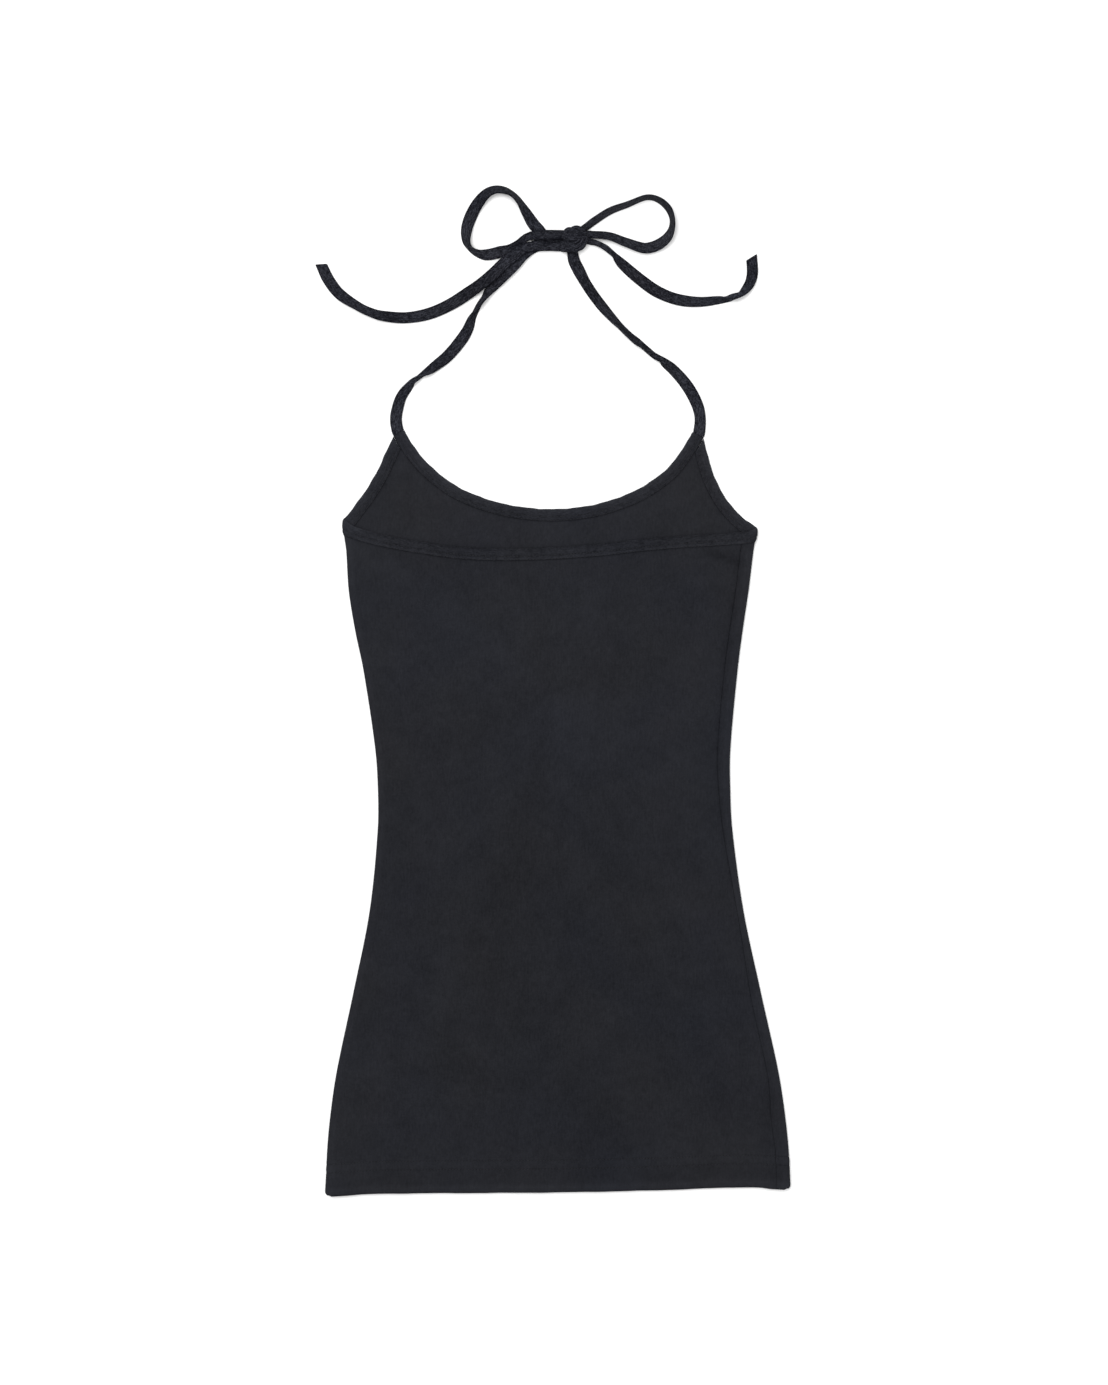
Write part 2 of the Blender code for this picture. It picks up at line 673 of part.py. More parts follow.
def back_columns(armhole_seam):
    """Columns of the back panel, from its turned left edge across to the right seam."""
    def right_limit(y):
        return fold_x(RIGHT, y) - TURN_TRACK.at(y) - SEAM_GAP

    made = []
    for step in range(LEFT_TURN_STEPS, 0, -1):
        def turned(y, share=step / LEFT_TURN_STEPS):
            return under_girth(LEFT, fold_x(LEFT, y) + share * LEFT_TURN, y)
        made.append(column_places(turned, settle(armhole_seam, turned)))
    for step in range(FOLD_STEPS, 0, -1):
        def folded(y, step=step):
            return fold_x(LEFT, y) - math.pi * fold_radius(LEFT, y) * step / FOLD_STEPS
        made.append(column_places(folded, settle(armhole_seam, folded)))
    for i in range(BACK_COLUMNS + 1):
        even = i / BACK_COLUMNS
        crowded = 0.5 - 0.5 * math.cos(math.pi * even)

        def across(y, share=even + BACK_CROWDING * (crowded - even)):
            left = fold_x(LEFT, y)
            return left + share * (right_limit(y) - left)
        made.append(column_places(across, settle(armhole_seam, across)))
    return made


def column_places(girth_of, top):
    """Places up one column: the hem's rows, then even rows to the top."""
    hem = hem_height(girth_of)
    places = [hem + rise for rise in HEM_ROWS]
    start = places[-1]
    for i in range(1, BODY_ROWS + 1):
        places.append(start + (top - start) * i / BODY_ROWS)
    return [(girth_of(y), y) for y in places]


def hem_height(girth_of):
    """Height of the hem at the foot of a column."""
    lowest = HEM_LINE[0][1]
    return HEM_TRACK.at(flat_x(girth_of(lowest), lowest))


def knot(name):
    """Gathered wrap of the tie, with slanting ridges, round the bow's strands."""
    rings = []
    for i in range(1, KNOT_RINGS):
        polar = math.pi * i / KNOT_RINGS
        ring = []
        for j in range(KNOT_SIDES):
            angle = 2.0 * math.pi * j / KNOT_SIDES
            lean = KNOT_TURNS * (2.0 * polar + KNOT_SLANT * math.sin(angle))
            swell = 1.0 + KNOT_RIDGE * math.cos(lean)
            form = (-math.cos(polar), math.sin(polar) * math.cos(angle),
                    math.sin(polar) * math.sin(angle))
            squared = [math.copysign(abs(value) ** KNOT_SQUARENESS, value) for value in form]
            point = [0.5 * size * value * swell for size, value in zip(KNOT_SIZE, squared)]
            height = max(0.0, point[2] + 0.5 * KNOT_SIZE[2])
            ring.append((KNOT_CENTRE[0] + point[0], KNOT_CENTRE[1] + point[1], height))
        rings.append(ring)
    return loft(name, rings, TIE_COLOUR)


def main():
    """Build every piece of the top."""
    for old in list(bpy.data.objects):
        bpy.data.objects.remove(old, do_unlink=True)

    neck = Route(NECK_EDGE)
    armholes = armhole_route(neck)
    cuts = end_cuts(neck)
    neck_places = binding_stations(neck, by_fold=False)
    armhole_places = binding_stations(armholes, by_fold=True)
    neck_seam = [seam_point(neck, place, LINE_GAP) for place in neck_places]
    armhole_seam = [seam_point(armholes, place, LINE_GAP, cuts) for place in armhole_places]

    wall_panel("front_panel", front_columns(armhole_seam, neck_seam), BODY_COLOUR)
    wall_panel("back_panel", back_columns(armhole_seam), BODY_COLOUR)
    binding("armhole_back_binding", armholes, armhole_places, cuts,
            lambda girth, y, out: lay(girth, y, BINDING_DEPTH, out))
    binding("neck_binding", neck, neck_places, None,
            lambda x, y, out: (x, y, 0.5 * BINDING_DEPTH - out))
    tie("strap_left", STRAP_LEFT)
    tie("strap_right", STRAP_RIGHT)
    tie("tail_left", TAIL_LEFT)
    tie("tail_right", TAIL_RIGHT)
    tie("loop_left", LOOP_LEFT)
    tie("loop_right", LOOP_RIGHT)
    knot("knot")


main()
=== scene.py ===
"""Halter neck top of fine jersey, laid flat on its front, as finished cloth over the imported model.

Lengths inside the classes are in millimetres and turn into metres when a mesh is made.  Places
on the body are given by girth and height: girth is x on the upper layer, and runs on round a
side fold onto the under layer.  +X is right, +Y is up the garment and +Z is up.
"""

import logging
import math
from collections.abc import Callable, Sequence
from dataclasses import dataclass, field
from enum import Enum
from functools import partial

import bmesh
import bpy
import numpy as np
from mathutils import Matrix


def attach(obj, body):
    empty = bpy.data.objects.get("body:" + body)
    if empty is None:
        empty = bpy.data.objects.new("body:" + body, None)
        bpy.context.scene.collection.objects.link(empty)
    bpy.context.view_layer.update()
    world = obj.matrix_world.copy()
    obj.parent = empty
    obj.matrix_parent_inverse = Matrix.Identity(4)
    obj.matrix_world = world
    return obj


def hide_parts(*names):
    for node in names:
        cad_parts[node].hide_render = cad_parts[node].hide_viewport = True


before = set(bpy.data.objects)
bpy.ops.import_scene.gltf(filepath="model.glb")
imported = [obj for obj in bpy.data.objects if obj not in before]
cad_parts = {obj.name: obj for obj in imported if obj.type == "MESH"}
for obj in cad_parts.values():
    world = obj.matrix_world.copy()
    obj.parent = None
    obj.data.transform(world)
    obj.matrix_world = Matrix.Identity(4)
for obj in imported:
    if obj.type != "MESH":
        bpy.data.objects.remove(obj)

LOG = logging.getLogger("halter_top")
BODY = "root"
MM = 0.001
TURN = 2.0 * math.pi
UV_NAME = "cloth_lie"
TONE_NAME = "tone"

# Sizes that several pieces share
BINDING_WIDTH = 11.0
STRIP_DEPTH = 1.8
STITCH_PITCH = 2.75
# Roll in degrees, depth, and lift of the lowest point where a tie lies flat on the surface
FLAT_STRIP = (0.0, STRIP_DEPTH, 0.0)
# Tone of cloth inside a strip, where no light comes
HIDDEN_TONE = -1.0

Array = np.ndarray
Number = float | np.ndarray
Table = tuple[tuple[float, ...], ...]
Pair = tuple[float, float]
Triple = tuple[float, float, float]
Colour = Triple

# Outline of the body: height, and x of the left and right folds
BODY_SIDES: Table = (
    (-445, -200.8, 208.4), (-404, -199.5, 206.6), (-369, -196.2, 202.9), (-333, -190.8, 197.2),
    (-263, -176, 181.7), (-193, -162.1, 166.8), (-122, -155, 157), (-87, -154.8, 155.2),
    (-52, -157, 155.2), (18, -167.4, 161.5), (54, -174.9, 166.1), (89, -180.5, 171.3),
    (124, -182.7, 175.6), (142, -185, 178.3), (230, -185, 178.3),
)

# Hem: x and height
HEM_LINE: Table = (
    (-202, -444.8), (-184, -443.5), (-150, -441.8), (-60, -441.2), (0, -440.7), (60, -439.6),
    (110, -438.2), (165, -436.2), (208, -437.6),
)

# Front panel turned over at the right: height, and width of the turned cloth
RIGHT_TURN: Table = (
    (-412, 9.7), (-377, 11), (-342, 8.6), (-271, 8.2), (-201, 4.2), (-131, 6.2), (-60, 9.5),
    (115, 9.7),
)

# Free edges of the bindings: x and height
LEFT_ARMHOLE: Table = (
    (-149.5, 206.8), (-155.1, 194.5), (-165.5, 176.9), (-171.9, 168.1), (-177.2, 161), (-182.7, 154),
)
BACK_EDGE: Table = (
    (-177.7, 146.5), (-161.8, 140.8), (-135.4, 135.1), (-109, 130.7), (-82.6, 127.2), (-47.4, 125.7),
    (-3.4, 126.7), (40.6, 129.8), (75.8, 133.8), (111, 136.8), (155, 139.5), (172.6, 141.5),
)
RIGHT_ARMHOLE: Table = (
    (169.4, 150.5), (161.5, 157.5), (155.2, 164.6), (147, 176.9), (139.3, 194.5),
)
NECK_EDGE: Table = (
    (-131.5, 229.9), (-124.4, 217.3), (-110.4, 200.2), (-89.2, 183), (-68.1, 172.6), (-40, 164.3),
    (-4.8, 160.5), (30.4, 163.4), (58.6, 171.3), (79.7, 181.3), (100.8, 197.3), (114.9, 216.3),
    (122, 228.2),
)

# Ties: x, y and width, and roll, depth and lift where the strip does not lie flat
STRAP_LEFT: Table = (
    (-136.5, 227.6, 10.6), (-137.4, 229.2, 10.6), (-138.9, 238, 10.5), (-138.2, 246.2, 10.5),
    (-133.9, 259.7, 9.3, 10, 2.1), (-125.05, 270.65, 7.5, 38, 3), (-120, 275.7, 4.8, 90, 4.3),
    (-113.75, 279.5, 7.1, 141, 3), (-105, 285.8, 9, 172, 2.1), (-93.5, 295, 10.5, 180),
    (-81.6, 309, 10.5, 180), (-75.5, 319, 9.6, 188, 2), (-71.5, 330.1, 7.3, 219, 3),
    (-65.6, 339.9, 4.9, 270, 4.5), (-60.2, 348.7, 7.6, 326, 2.9), (-53.3, 356.3, 9, 352, 2),
    (-45.4, 364.2, 9.9, 347), (-35.4, 374, 10.1, 346), (-26.3, 384.3, 9.7, 349),
    (-16.6, 391.65, 10.9, 360), (-5.2, 392.8, 10.7, 360), (6.9, 392.6, 11, 360),
)
STRAP_RIGHT: Table = (
    (126.9, 225.8, 10.4), (127.7, 227.2, 10.4), (128.7, 240, 9.9), (126.2, 252, 10.4),
    (117.1, 269, 10.4), (104.6, 283.3, 9.3, -12, 2.1), (96.7, 289.3, 8.3, -35, 2.8),
    (89.05, 295, 5.1, -90, 5.1), (81.3, 300.8, 6.4, -123, 4.2), (73.6, 306.85, 7.4, -150, 3),
    (66.1, 313.15, 5.7, -165, 3.4), (59.3, 320.2, 5.2, -180, 3.4), (52.5, 327.2, 6.7, -180, 2.9),
    (39.8, 342.1, 9.2, -180, 2.1), (28.6, 358.1, 9.2, -180, 2.1), (21.6, 371, 10.8, -180),
    (17.8, 378.9, 10.5, -180), (16.4, 386.2, 9.4, -180),
)
TAIL_LEFT: Table = (
    (6, 391.2, 7.6, 0, 1.8, 2.2), (-8, 391.5, 8.2, 0, 1.8, 2.2), (-20, 391.2, 8.8, 0, 1.8, 2.6),
    (-29, 388.2, 9.8, 0, 1.5, 2.8), (-36.6, 382.2, 10.4, 0, 1.4, 2.6),
    (-44.2, 376.2, 10.5, 0, 1.4, 2.4), (-53.4, 367.2, 10.5, 0, 1.4, 2.4),
    (-63, 359.1, 10.5, 0, 1.8, 2.3), (-73.5, 351.6, 11, 0, 1.8, 1), (-91.2, 340.4, 10.9),
    (-110.1, 332.3, 10.4), (-130.5, 328.8, 10), (-151.4, 330.5, 9.4, 14, 2),
    (-161.3, 333.5, 8.8, 20, 2.2), (-170.8, 338, 8.5, 22, 2.3), (-188.2, 349.4, 10.2, 10, 1.9),
    (-198.4, 362.4, 10.2), (-204.9, 376.1, 9.9),
)
TAIL_RIGHT: Table = (
    (32, 395.3, 6.6, 40, 2.6), (40, 392.6, 6, 60, 3.6), (48.4, 388.2, 4.9, 90, 4.8),
    (54.8, 381.25, 8, 144, 2.8), (61.6, 374.6, 9.4, 170, 2.1), (75.8, 362.4, 10.5, 180),
    (91.3, 351.6, 10.5, 180), (109, 344.8, 10.2, 180), (128, 342.7, 8.9, 190, 2.1),
    (147, 344.75, 7.6, 219, 2.9), (157.1, 346.6, 5.5, 270, 5.4), (165.6, 350.95, 7.8, 322, 2.8),
    (172.1, 358.7, 9, 352, 2.1), (174.6, 368, 9.8, 360), (173.9, 382.2, 10, 360),
)
LOOP_LEFT: Table = (
    (-9.3, 401.9, 8.8), (-12.9, 405.85, 9.9), (-18, 411.2, 10.7, 8), (-24.2, 421, 10.2, 32),
    (-30.5, 431, 9.8, 57, 1.9), (-36.5, 437.2, 9.8, 60, 1.9), (-44, 440.65, 9.8, 45, 1.9),
    (-51.5, 441.2, 10, 40), (-59, 438.05, 10.2, 31), (-66.75, 429.45, 10.7, 14), (-72.6, 418.85, 11.1),
    (-76.5, 407.65, 10.2, 8), (-77.05, 396.4, 8.9, 36, 2.2), (-73.6, 388.9, 7.2, 54, 2.8),
    (-67, 385.1, 7.7, 36, 2.5), (-59, 384.1, 9.8, 10, 2), (-47.45, 386.7, 10.5), (-38.3, 389.7, 8),
    (-30.6, 393.8, 8, 0, 1.8, 0.1), (-24.75, 399.15, 6.9, 0, 1.8, 0.4), (-18.4, 401, 8, 0, 1.8, 2),
    (-13.5, 401.4, 8.8, 0, 1.8, 2.2), (-7.8, 401.5, 8.8, 0, 1.8, 2.2), (6, 401.4, 8.6, 0, 1.8, 2.2),
)
LOOP_RIGHT: Table = (
    (28.5, 408.3, 8.6, 52, 2.2), (36.1, 413.9, 9.6, 55, 2), (49.6, 422.4, 10, 60, 1.9),
    (64.7, 427.95, 10, 68, 1.9), (79.7, 433.85, 10, 72, 1.9), (87.2, 433.85, 10, 72, 1.9),
    (94.7, 430.4, 10, 67, 1.9), (100.8, 424.2, 10, 63, 1.9), (103.9, 416.25, 10, 69, 1.9),
    (103.7, 407.7, 10, 62, 1.9), (100.3, 399.95, 10.2, 38), (94.4, 394.5, 10.7, 24),
    (87, 391, 10.4, 14), (79, 390, 10.2, 20, 1.9), (63.45, 395, 9.6, 28, 2.1),
    (48.5, 400.5, 8.4, 30, 2.2), (32.5, 402, 7.6, 30, 2.4),
)


def smooth(value: Number) -> Number:
    """Ease from 0 to 1 as the value does, flat outside."""
    value = np.clip(value, 0.0, 1.0)
    return value * value * (3.0 - 2.0 * value)


def ease(value: Number, start: Number, reach: Number) -> Number:
    """Ease from 0 at a start to 1 a reach beyond it."""
    return smooth((value - start) / reach)


def graded(value: Number, grade: Triple) -> Number:
    """Ease from 0 to a strength: a grade is the strength, where it starts, and its reach."""
    strength, start, reach = grade
    return strength * ease(value, start, reach)


def bell(distance: Number, width: Number) -> Number:
    """A soft bump of height 1 at distance 0, down to a third at the width."""
    return np.exp(-((distance / width) ** 2))


def lines_at(distance: Number, lines: Table) -> Number:
    """Sum of soft lines beside an edge, each with its distance, width and strength."""
    return sum(strength * bell(distance - place, width) for place, width, strength in lines)


def waves_at(place: Number, waves: Table) -> Number:
    """Sum of waves, each with its height, its length for a radian, and its phase."""
    return sum(height * np.sin(place / reach + phase) for height, reach, phase in waves)


def unit(steps: Array) -> Array:
    """The directions of steps, as vectors of length 1."""
    return steps / np.linalg.norm(steps, axis=-1, keepdims=True)


def columns(table: Table) -> list[Array]:
    """A table's columns, one array each."""
    return [np.array(column, dtype=float) for column in zip(*table)]


def tie_columns(table: Table) -> list[Array]:
    """Columns of a tie's table, whose rows leave out at their end what a flat strip has."""
    return columns([(*row, *FLAT_STRIP[len(row) - 3:]) for row in table])


class Side(Enum):
    """Side of the garment as it lies, seen from above."""

    LEFT = -1
    RIGHT = 1


class Track:
    """A smooth curve through a table's values, read at any place between its ends."""

    def __init__(self, places: Sequence[float], values: Sequence[float], steady: bool = False) -> None:
        """Work out the curve's slopes.

        Args:
            places: where the values stand, increasing.
            values: the values there.
            steady: keep the curve from swinging past the values on either side.
        """
        self.places = np.array(places, dtype=float)
        self.values = np.array(values, dtype=float)
        secants = np.diff(self.values) / np.diff(self.places)
        self.slopes = np.empty_like(self.values)
        self.slopes[0], self.slopes[-1] = secants[0], secants[-1]
        before, after = secants[:-1], secants[1:]
        if steady:
            level = before * after <= 0.0
            total = np.where(level, 1.0, before + after)
            self.slopes[1:-1] = np.where(level, 0.0, 2.0 * before * after / total)
        else:
            spans = self.places[2:] - self.places[:-2]
            self.slopes[1:-1] = (self.values[2:] - self.values[:-2]) / spans

    def at(self, place: Number) -> Number:
        """Values of the curve at one or more places.

        Args:
            place: where to read it.

        Returns:
            The values there.
        """
        place = np.clip(place, self.places[0], self.places[-1])
        row = np.searchsorted(self.places, place, side="right") - 1
        row = np.clip(row, 0, len(self.places) - 2)
        span = self.places[row + 1] - self.places[row]
        t = (place - self.places[row]) / span
        rise, fall = self.slopes[row] * span, self.slopes[row + 1] * span
        return (self.values[row] * (2 * t ** 3 - 3 * t ** 2 + 1) + rise * (t ** 3 - 2 * t ** 2 + t)
                + self.values[row + 1] * (3 * t ** 2 - 2 * t ** 3) + fall * (t ** 3 - t ** 2))


class Route:
    """A curve through points, read by the distance along their chords, and straight beyond its ends."""

    def __init__(self, points: Sequence[Sequence[float]]) -> None:
        """Lay the curve through the points.

        Args:
            points: the points, in order.
        """
        spots = np.array(points, dtype=float)
        steps = np.linalg.norm(np.diff(spots, axis=0), axis=1)
        self.places = np.concatenate(([0.0], np.cumsum(steps)))
        self.length = float(self.places[-1])
        self.tracks = [Track(self.places, spots[:, axis]) for axis in range(spots.shape[1])]

    def inside(self, place: Number) -> Array:
        """Points of the curve at places between its ends."""
        return np.stack([track.at(place) for track in self.tracks], axis=-1)

    def point(self, place: Number) -> Array:
        """Points at one or more places, run on straight past either end.

        Args:
            place: distances along it.

        Returns:
            The points, with their coordinates last.
        """
        place = np.asarray(place, dtype=float)
        kept = np.clip(place, 0.0, self.length)
        return self.inside(kept) + (place - kept)[..., None] * self.heading(kept)

    def heading(self, place: Number, reach: float = 0.2) -> Array:
        """Unit vectors along the curve.

        Args:
            place: distances along it.
            reach: how far to look either way.

        Returns:
            The directions.
        """
        place = np.clip(place, 0.0, self.length)
        ahead = self.inside(np.minimum(self.length, place + reach))
        return unit(ahead - self.inside(np.maximum(0.0, place - reach)))

    def beside(self, place: Number) -> Array:
        """Unit vectors to the left of the curve."""
        heading = self.heading(place)
        return np.stack((-heading[..., 1], heading[..., 0]), axis=-1)


def distance_to(points: Array, line: Array) -> Array:
    """Distance of each point of any array of places from a line of chords.

    Args:
        points: places, with their two coordinates last.
        line: the line's corners, one row each.

    Returns:
        The distances, in the shape of the points.
    """
    flat = points.reshape(-1, 2)
    nearest = np.full(len(flat), np.inf)
    for start, end in zip(line, line[1:]):
        chord = end - start
        share = np.clip((flat - start) @ chord / max(float(chord @ chord), 1e-9), 0.0, 1.0)
        gap = flat - start - share[:, None] * chord
        nearest = np.minimum(nearest, np.hypot(gap[:, 0], gap[:, 1]))
    return nearest.reshape(points.shape[:-1])


@dataclass(frozen=True)
class Crease:
    """A soft ridge along a bowed line, or a trough where its height is negative."""

    start: Pair
    end: Pair
    bow: float
    width: float
    height: float
    lean: float = 0.25
    fade_in: float = 0.4
    fade_out: float = 0.45

    def rise(self, x: Array, y: Array) -> Array:
        """How far the crease raises the cloth at each place.

        Args:
            x, y: the places.

        Returns:
            The rise at each of them.
        """
        chord = np.array(self.end) - np.array(self.start)
        length = float(np.hypot(*chord))
        along, across = chord / length, np.array((-chord[1], chord[0])) / length
        t = ((x - self.start[0]) * along[0] + (y - self.start[1]) * along[1]) / length
        off = (x - self.start[0]) * across[0] + (y - self.start[1]) * across[1]
        off = off - self.bow * 4.0 * t * (1.0 - t)
        width = self.width * (1.0 + self.lean * np.tanh(off / self.width))
        fade = smooth(t / self.fade_in) * smooth((1.0 - t) / self.fade_out)
        return self.height * fade * bell(off, width)


@dataclass(frozen=True)
class Swell:
    """A long low wave of the cloth."""

    across: float
    along: float
    phase: float
    height: float

    def rise(self, x: Array, y: Array) -> Array:
        """How far the wave raises the cloth at each place."""
        return self.height * np.sin(TURN * (x / self.across + y / self.along) + self.phase)


# Folds left in the back panel, and in the front panel below it
BACK_FOLDS: tuple[Crease | Swell, ...] = (
    Crease((166, 117), (116, 108), -3, 5.5, -1.3),
    Crease((170, 106), (100, 92), 4, 7, 2.5),
    Crease((168, 84), (112, 62), 3, 8, 1.6),
    Crease((-177, 112), (-120, 86), 5, 7, 2),
    Crease((-172, 84), (-98, 36), -6, 9, 1.7),
    Crease((-168, 48), (-124, 6), 4, 8, 1.3),
    Crease((164, 52), (80, 18), 7, 10, 1.7),
    Crease((-154, -52), (-66, -80), -6, 8.5, 2.2),
    Crease((-150, -84), (-98, -96), 4, 7.5, 1.4),
    Crease((-150, -116), (-76, -152), 5, 9, 1.8),
    Crease((150, -40), (90, -64), 6, 8, 2.1),
    Crease((150, -72), (54, -92), -5, 9.5, 1.7),
    Crease((151, -112), (98, -132), 4, 7.5, 1.8),
    Crease((154, -150), (88, -198), 6, 9, 1.6),
    Crease((-22, 96), (-48, -38), 9, 13, 1.2),
    Crease((60, 84), (32, -62), -10, 14, 1.3),
    Crease((-10, -66), (26, -190), 6, 12, 1.2),
    Crease((-92, -176), (-120, -414), 10, 12, 2.1),
    Crease((-36, -224), (-24, -420), -8, 11, 1.6),
    Crease((40, -176), (68, -420), 9, 13, 2),
    Crease((108, -224), (140, -428), -9, 11, 2.2),
    Crease((-148, -250), (-166, -408), 6, 9, 1.7),
    Crease((-66, -300), (-76, -432), -4, 8.5, 1.3),
    Crease((166, -296), (178, -428), 4, 8, 1.4),
    Crease((-100, -14), (20, -40), 8, 12, -0.7),
    Swell(148, 230, 0.7, 0.35),
    Swell(-96, 310, 2.1, 0.22),
    Swell(210, -128, 4, 0.26),
    Swell(61, -190, 1.1, 0.1),
)
FRONT_FOLDS: tuple[Crease | Swell, ...] = (
    Crease((-152, 184), (-88, 158), -4, 6, 1.3),
    Crease((-130, 206), (-110, 156), 3, 5.5, 1.1),
    Crease((140, 182), (86, 156), 4, 6.5, 1.4),
    Crease((118, 200), (106, 152), -3, 5, 1.1),
    Crease((-66, 157), (30, 149), 2, 5, 0.7),
    Crease((-152, -66), (-84, -92), 5, 10, 0.8),
    Crease((148, -58), (78, -88), -5, 10, 0.8),
    Crease((-62, -170), (-88, -404), 9, 13, 0.9),
    Crease((8, -200), (14, -410), -6, 12, 0.7),
    Crease((86, -190), (106, -406), -8, 13, 0.9),
    Crease((4, 60), (16, -120), 7, 15, 0.6),
    Swell(132, 260, 1.3, 0.18),
    Swell(-178, 146, 3.2, 0.16),
)

# Painted shadow of a fold pressed flat below the right end of the back's band: a darker streak in the
# panels' tone, with no relief of its own
PAINTED_FOLD_SHADOW = Crease((126.0, 124.0), (174.0, 110.0), 0.0, 3.8, 1.1)

# Left of the knot: two hollows between the strips, and the rounded edges of the upper and lower strip; the
# ties' tone follows them, with painted shade in the hollows and painted highlight on the edges
KNOT_HOLLOWS = (Crease((-33.5, 391.4), (-25.0, 394.2), 0.0, 1.6, -0.65),
                Crease((-14.0, 391.2), (17.0, 401.0), 0.0, 2.0, -0.8))
UPPER_EDGE = Crease((-66.0, 346.0), (-12.0, 391.0), 2.0, 2.4, 0.42)
LOWER_EDGE = Crease((-62.0, 338.0), (-8.0, 388.0), 2.0, 4.5, 0.34)


@dataclass
class LaidBody:
    """Form of the flattened tube: two flat layers joined by a narrow fold at either side."""

    cloth: float = 1.0
    hem_cloth: float = 1.7
    hem_height: float = 28.6
    hem_step: float = 5.0
    layer_gap: float = 0.3
    edge_puff: float = 1.1
    puff_reach: Pair = (15.5, 12.0)
    side_calm: Pair = (2.0, 13.0)
    band_calm: Pair = (7.0, 11.0)
    deepest: float = -0.15
    sides: dict[Side, Track] = field(init=False)
    hem: Track = field(init=False)
    turn: Track = field(init=False)
    band: Array = field(init=False)

    def __post_init__(self) -> None:
        """Lay the outline's curves through their tables."""
        height, left, right = columns(BODY_SIDES)
        self.sides = {Side.LEFT: Track(height, left), Side.RIGHT: Track(height, right)}
        self.hem = Track(*columns(HEM_LINE))
        self.turn = Track(*columns(RIGHT_TURN))
        self.band = np.array(BACK_EDGE) - np.array((0.0, 0.5 * BINDING_WIDTH))

    def wall(self, x: Number, y: Number) -> Number:
        """Thickness of a panel at a place on either layer, which grows at the turned hem."""
        above = y - self.hem.at(x) - self.hem_height
        return self.hem_cloth + (self.cloth - self.hem_cloth) * smooth(above / self.hem_step)

    def upper_level(self, inset: Number, x: Number, y: Number) -> Number:
        """Height of the upper layer's lower face, at an inset from the side fold."""
        parted = 1.0 - ease(inset, *self.puff_reach)
        return self.wall(x, y) + self.layer_gap + self.edge_puff * parted

    def fold_radius(self, side: Side, y: Number) -> Number:
        """Radius of a side fold, to the middle of its wall."""
        return 0.5 * self.upper_level(0.0, self.sides[side].at(y), y)

    def fold_x(self, side: Side, y: Number) -> Number:
        """Where the flat layers end and the side fold begins."""
        edge = self.sides[side].at(y)
        return edge - side.value * (self.fold_radius(side, y) + 0.5 * self.wall(edge, y))

    def under_girth(self, side: Side, x: Number, y: Number) -> Number:
        """Girth of a place on the under layer, reached round one side."""
        fold = self.fold_x(side, y)
        return fold + side.value * (math.pi * self.fold_radius(side, y) + np.abs(fold - x))

    def under_x(self, side: Side, girth: Number, y: Number) -> Number:
        """The x of a girth that lies on the under layer."""
        fold = self.fold_x(side, y)
        return fold - side.value * (np.abs(girth - fold) - math.pi * self.fold_radius(side, y))

    def round_fold(self, side: Side, share: Number, y: Number) -> Number:
        """Girth of a place round a side fold, by the share of it passed from the upper layer."""
        return self.fold_x(side, y) + side.value * math.pi * self.fold_radius(side, y) * share

    def flat_x(self, girth: Number, y: Number) -> Number:
        """The x of any girth, with a side fold's taken as that of the fold.

        Args:
            girth, y: the places.

        Returns:
            The x of each.
        """
        found = np.asarray(girth, dtype=float)
        for side in Side:
            fold = self.fold_x(side, y)
            turned = np.maximum(0.0, np.abs(girth - fold) - math.pi * self.fold_radius(side, y))
            found = np.where(side.value * (girth - fold) > 0.0, fold - side.value * turned, found)
        return found

    def folds(self, relief: Sequence[Crease | Swell], x: Array, y: Array) -> Array:
        """Rise of one layer's creases, which die out at the side folds and under the back's band.

        Args:
            relief: the layer's creases.
            x, y: the places, seen from above.

        Returns:
            The rise at each of them.
        """
        edge = np.minimum(x - self.fold_x(Side.LEFT, y), self.fold_x(Side.RIGHT, y) - x)
        band_gap = distance_to(np.stack(np.broadcast_arrays(x, y), axis=-1), self.band)
        calm = ease(edge, *self.side_calm) * ease(band_gap, *self.band_calm)
        return calm * sum(part.rise(x, y) for part in relief)

    def lift(self, girth: Array, y: Array) -> Array:
        """How far creases raise the cloth of either layer off what it lies on.

        Args:
            girth, y: the places.

        Returns:
            The lift at each of them.
        """
        x = self.flat_x(girth, y)
        under = np.maximum(0.0, self.folds(FRONT_FOLDS, x, y))
        upper = np.maximum(self.deepest, self.folds(BACK_FOLDS, x, y))
        on_top = (girth > self.fold_x(Side.LEFT, y)) & (girth < self.fold_x(Side.RIGHT, y))
        return under + np.where(on_top, upper, 0.0)

    def place(self, girth: Array, y: Array, bed: Number, out: Number, lift: Number = 0.0) -> Array:
        """Points of cloth laid round the flattened body.

        Args:
            girth: girth of each place.
            y: height of each place.
            bed: twice the height of the cloth's middle above what it lies on.
            out: distance from that middle, positive on the garment's outside.
            lift: rise of the creases.

        Returns:
            The points, with x, y and z last.
        """
        girth, y, bed, out, lift = np.broadcast_arrays(girth, y, bed, out, lift)
        left, right = self.fold_x(Side.LEFT, y), self.fold_x(Side.RIGHT, y)
        upper = self.upper_level(np.minimum(girth - left, right - girth), girth, y)
        on_right = girth > right
        side = np.where(on_right, 1.0, -1.0)
        fold = np.where(on_right, right, left)
        radius = np.where(on_right, self.fold_radius(Side.RIGHT, y), self.fold_radius(Side.LEFT, y))
        over = np.abs(girth - fold)
        angle = np.minimum(over / radius, math.pi)
        reach = radius + out
        x = fold + side * (reach * np.sin(angle) - np.maximum(0.0, over - math.pi * radius))
        z = 0.5 * bed + radius + reach * np.cos(angle) + lift
        flat = (girth >= left) & (girth <= right)
        x = np.where(flat, girth, x)
        z = np.where(flat, upper + 0.5 * bed + out + lift, z)
        return np.stack((x, y, z), axis=-1)


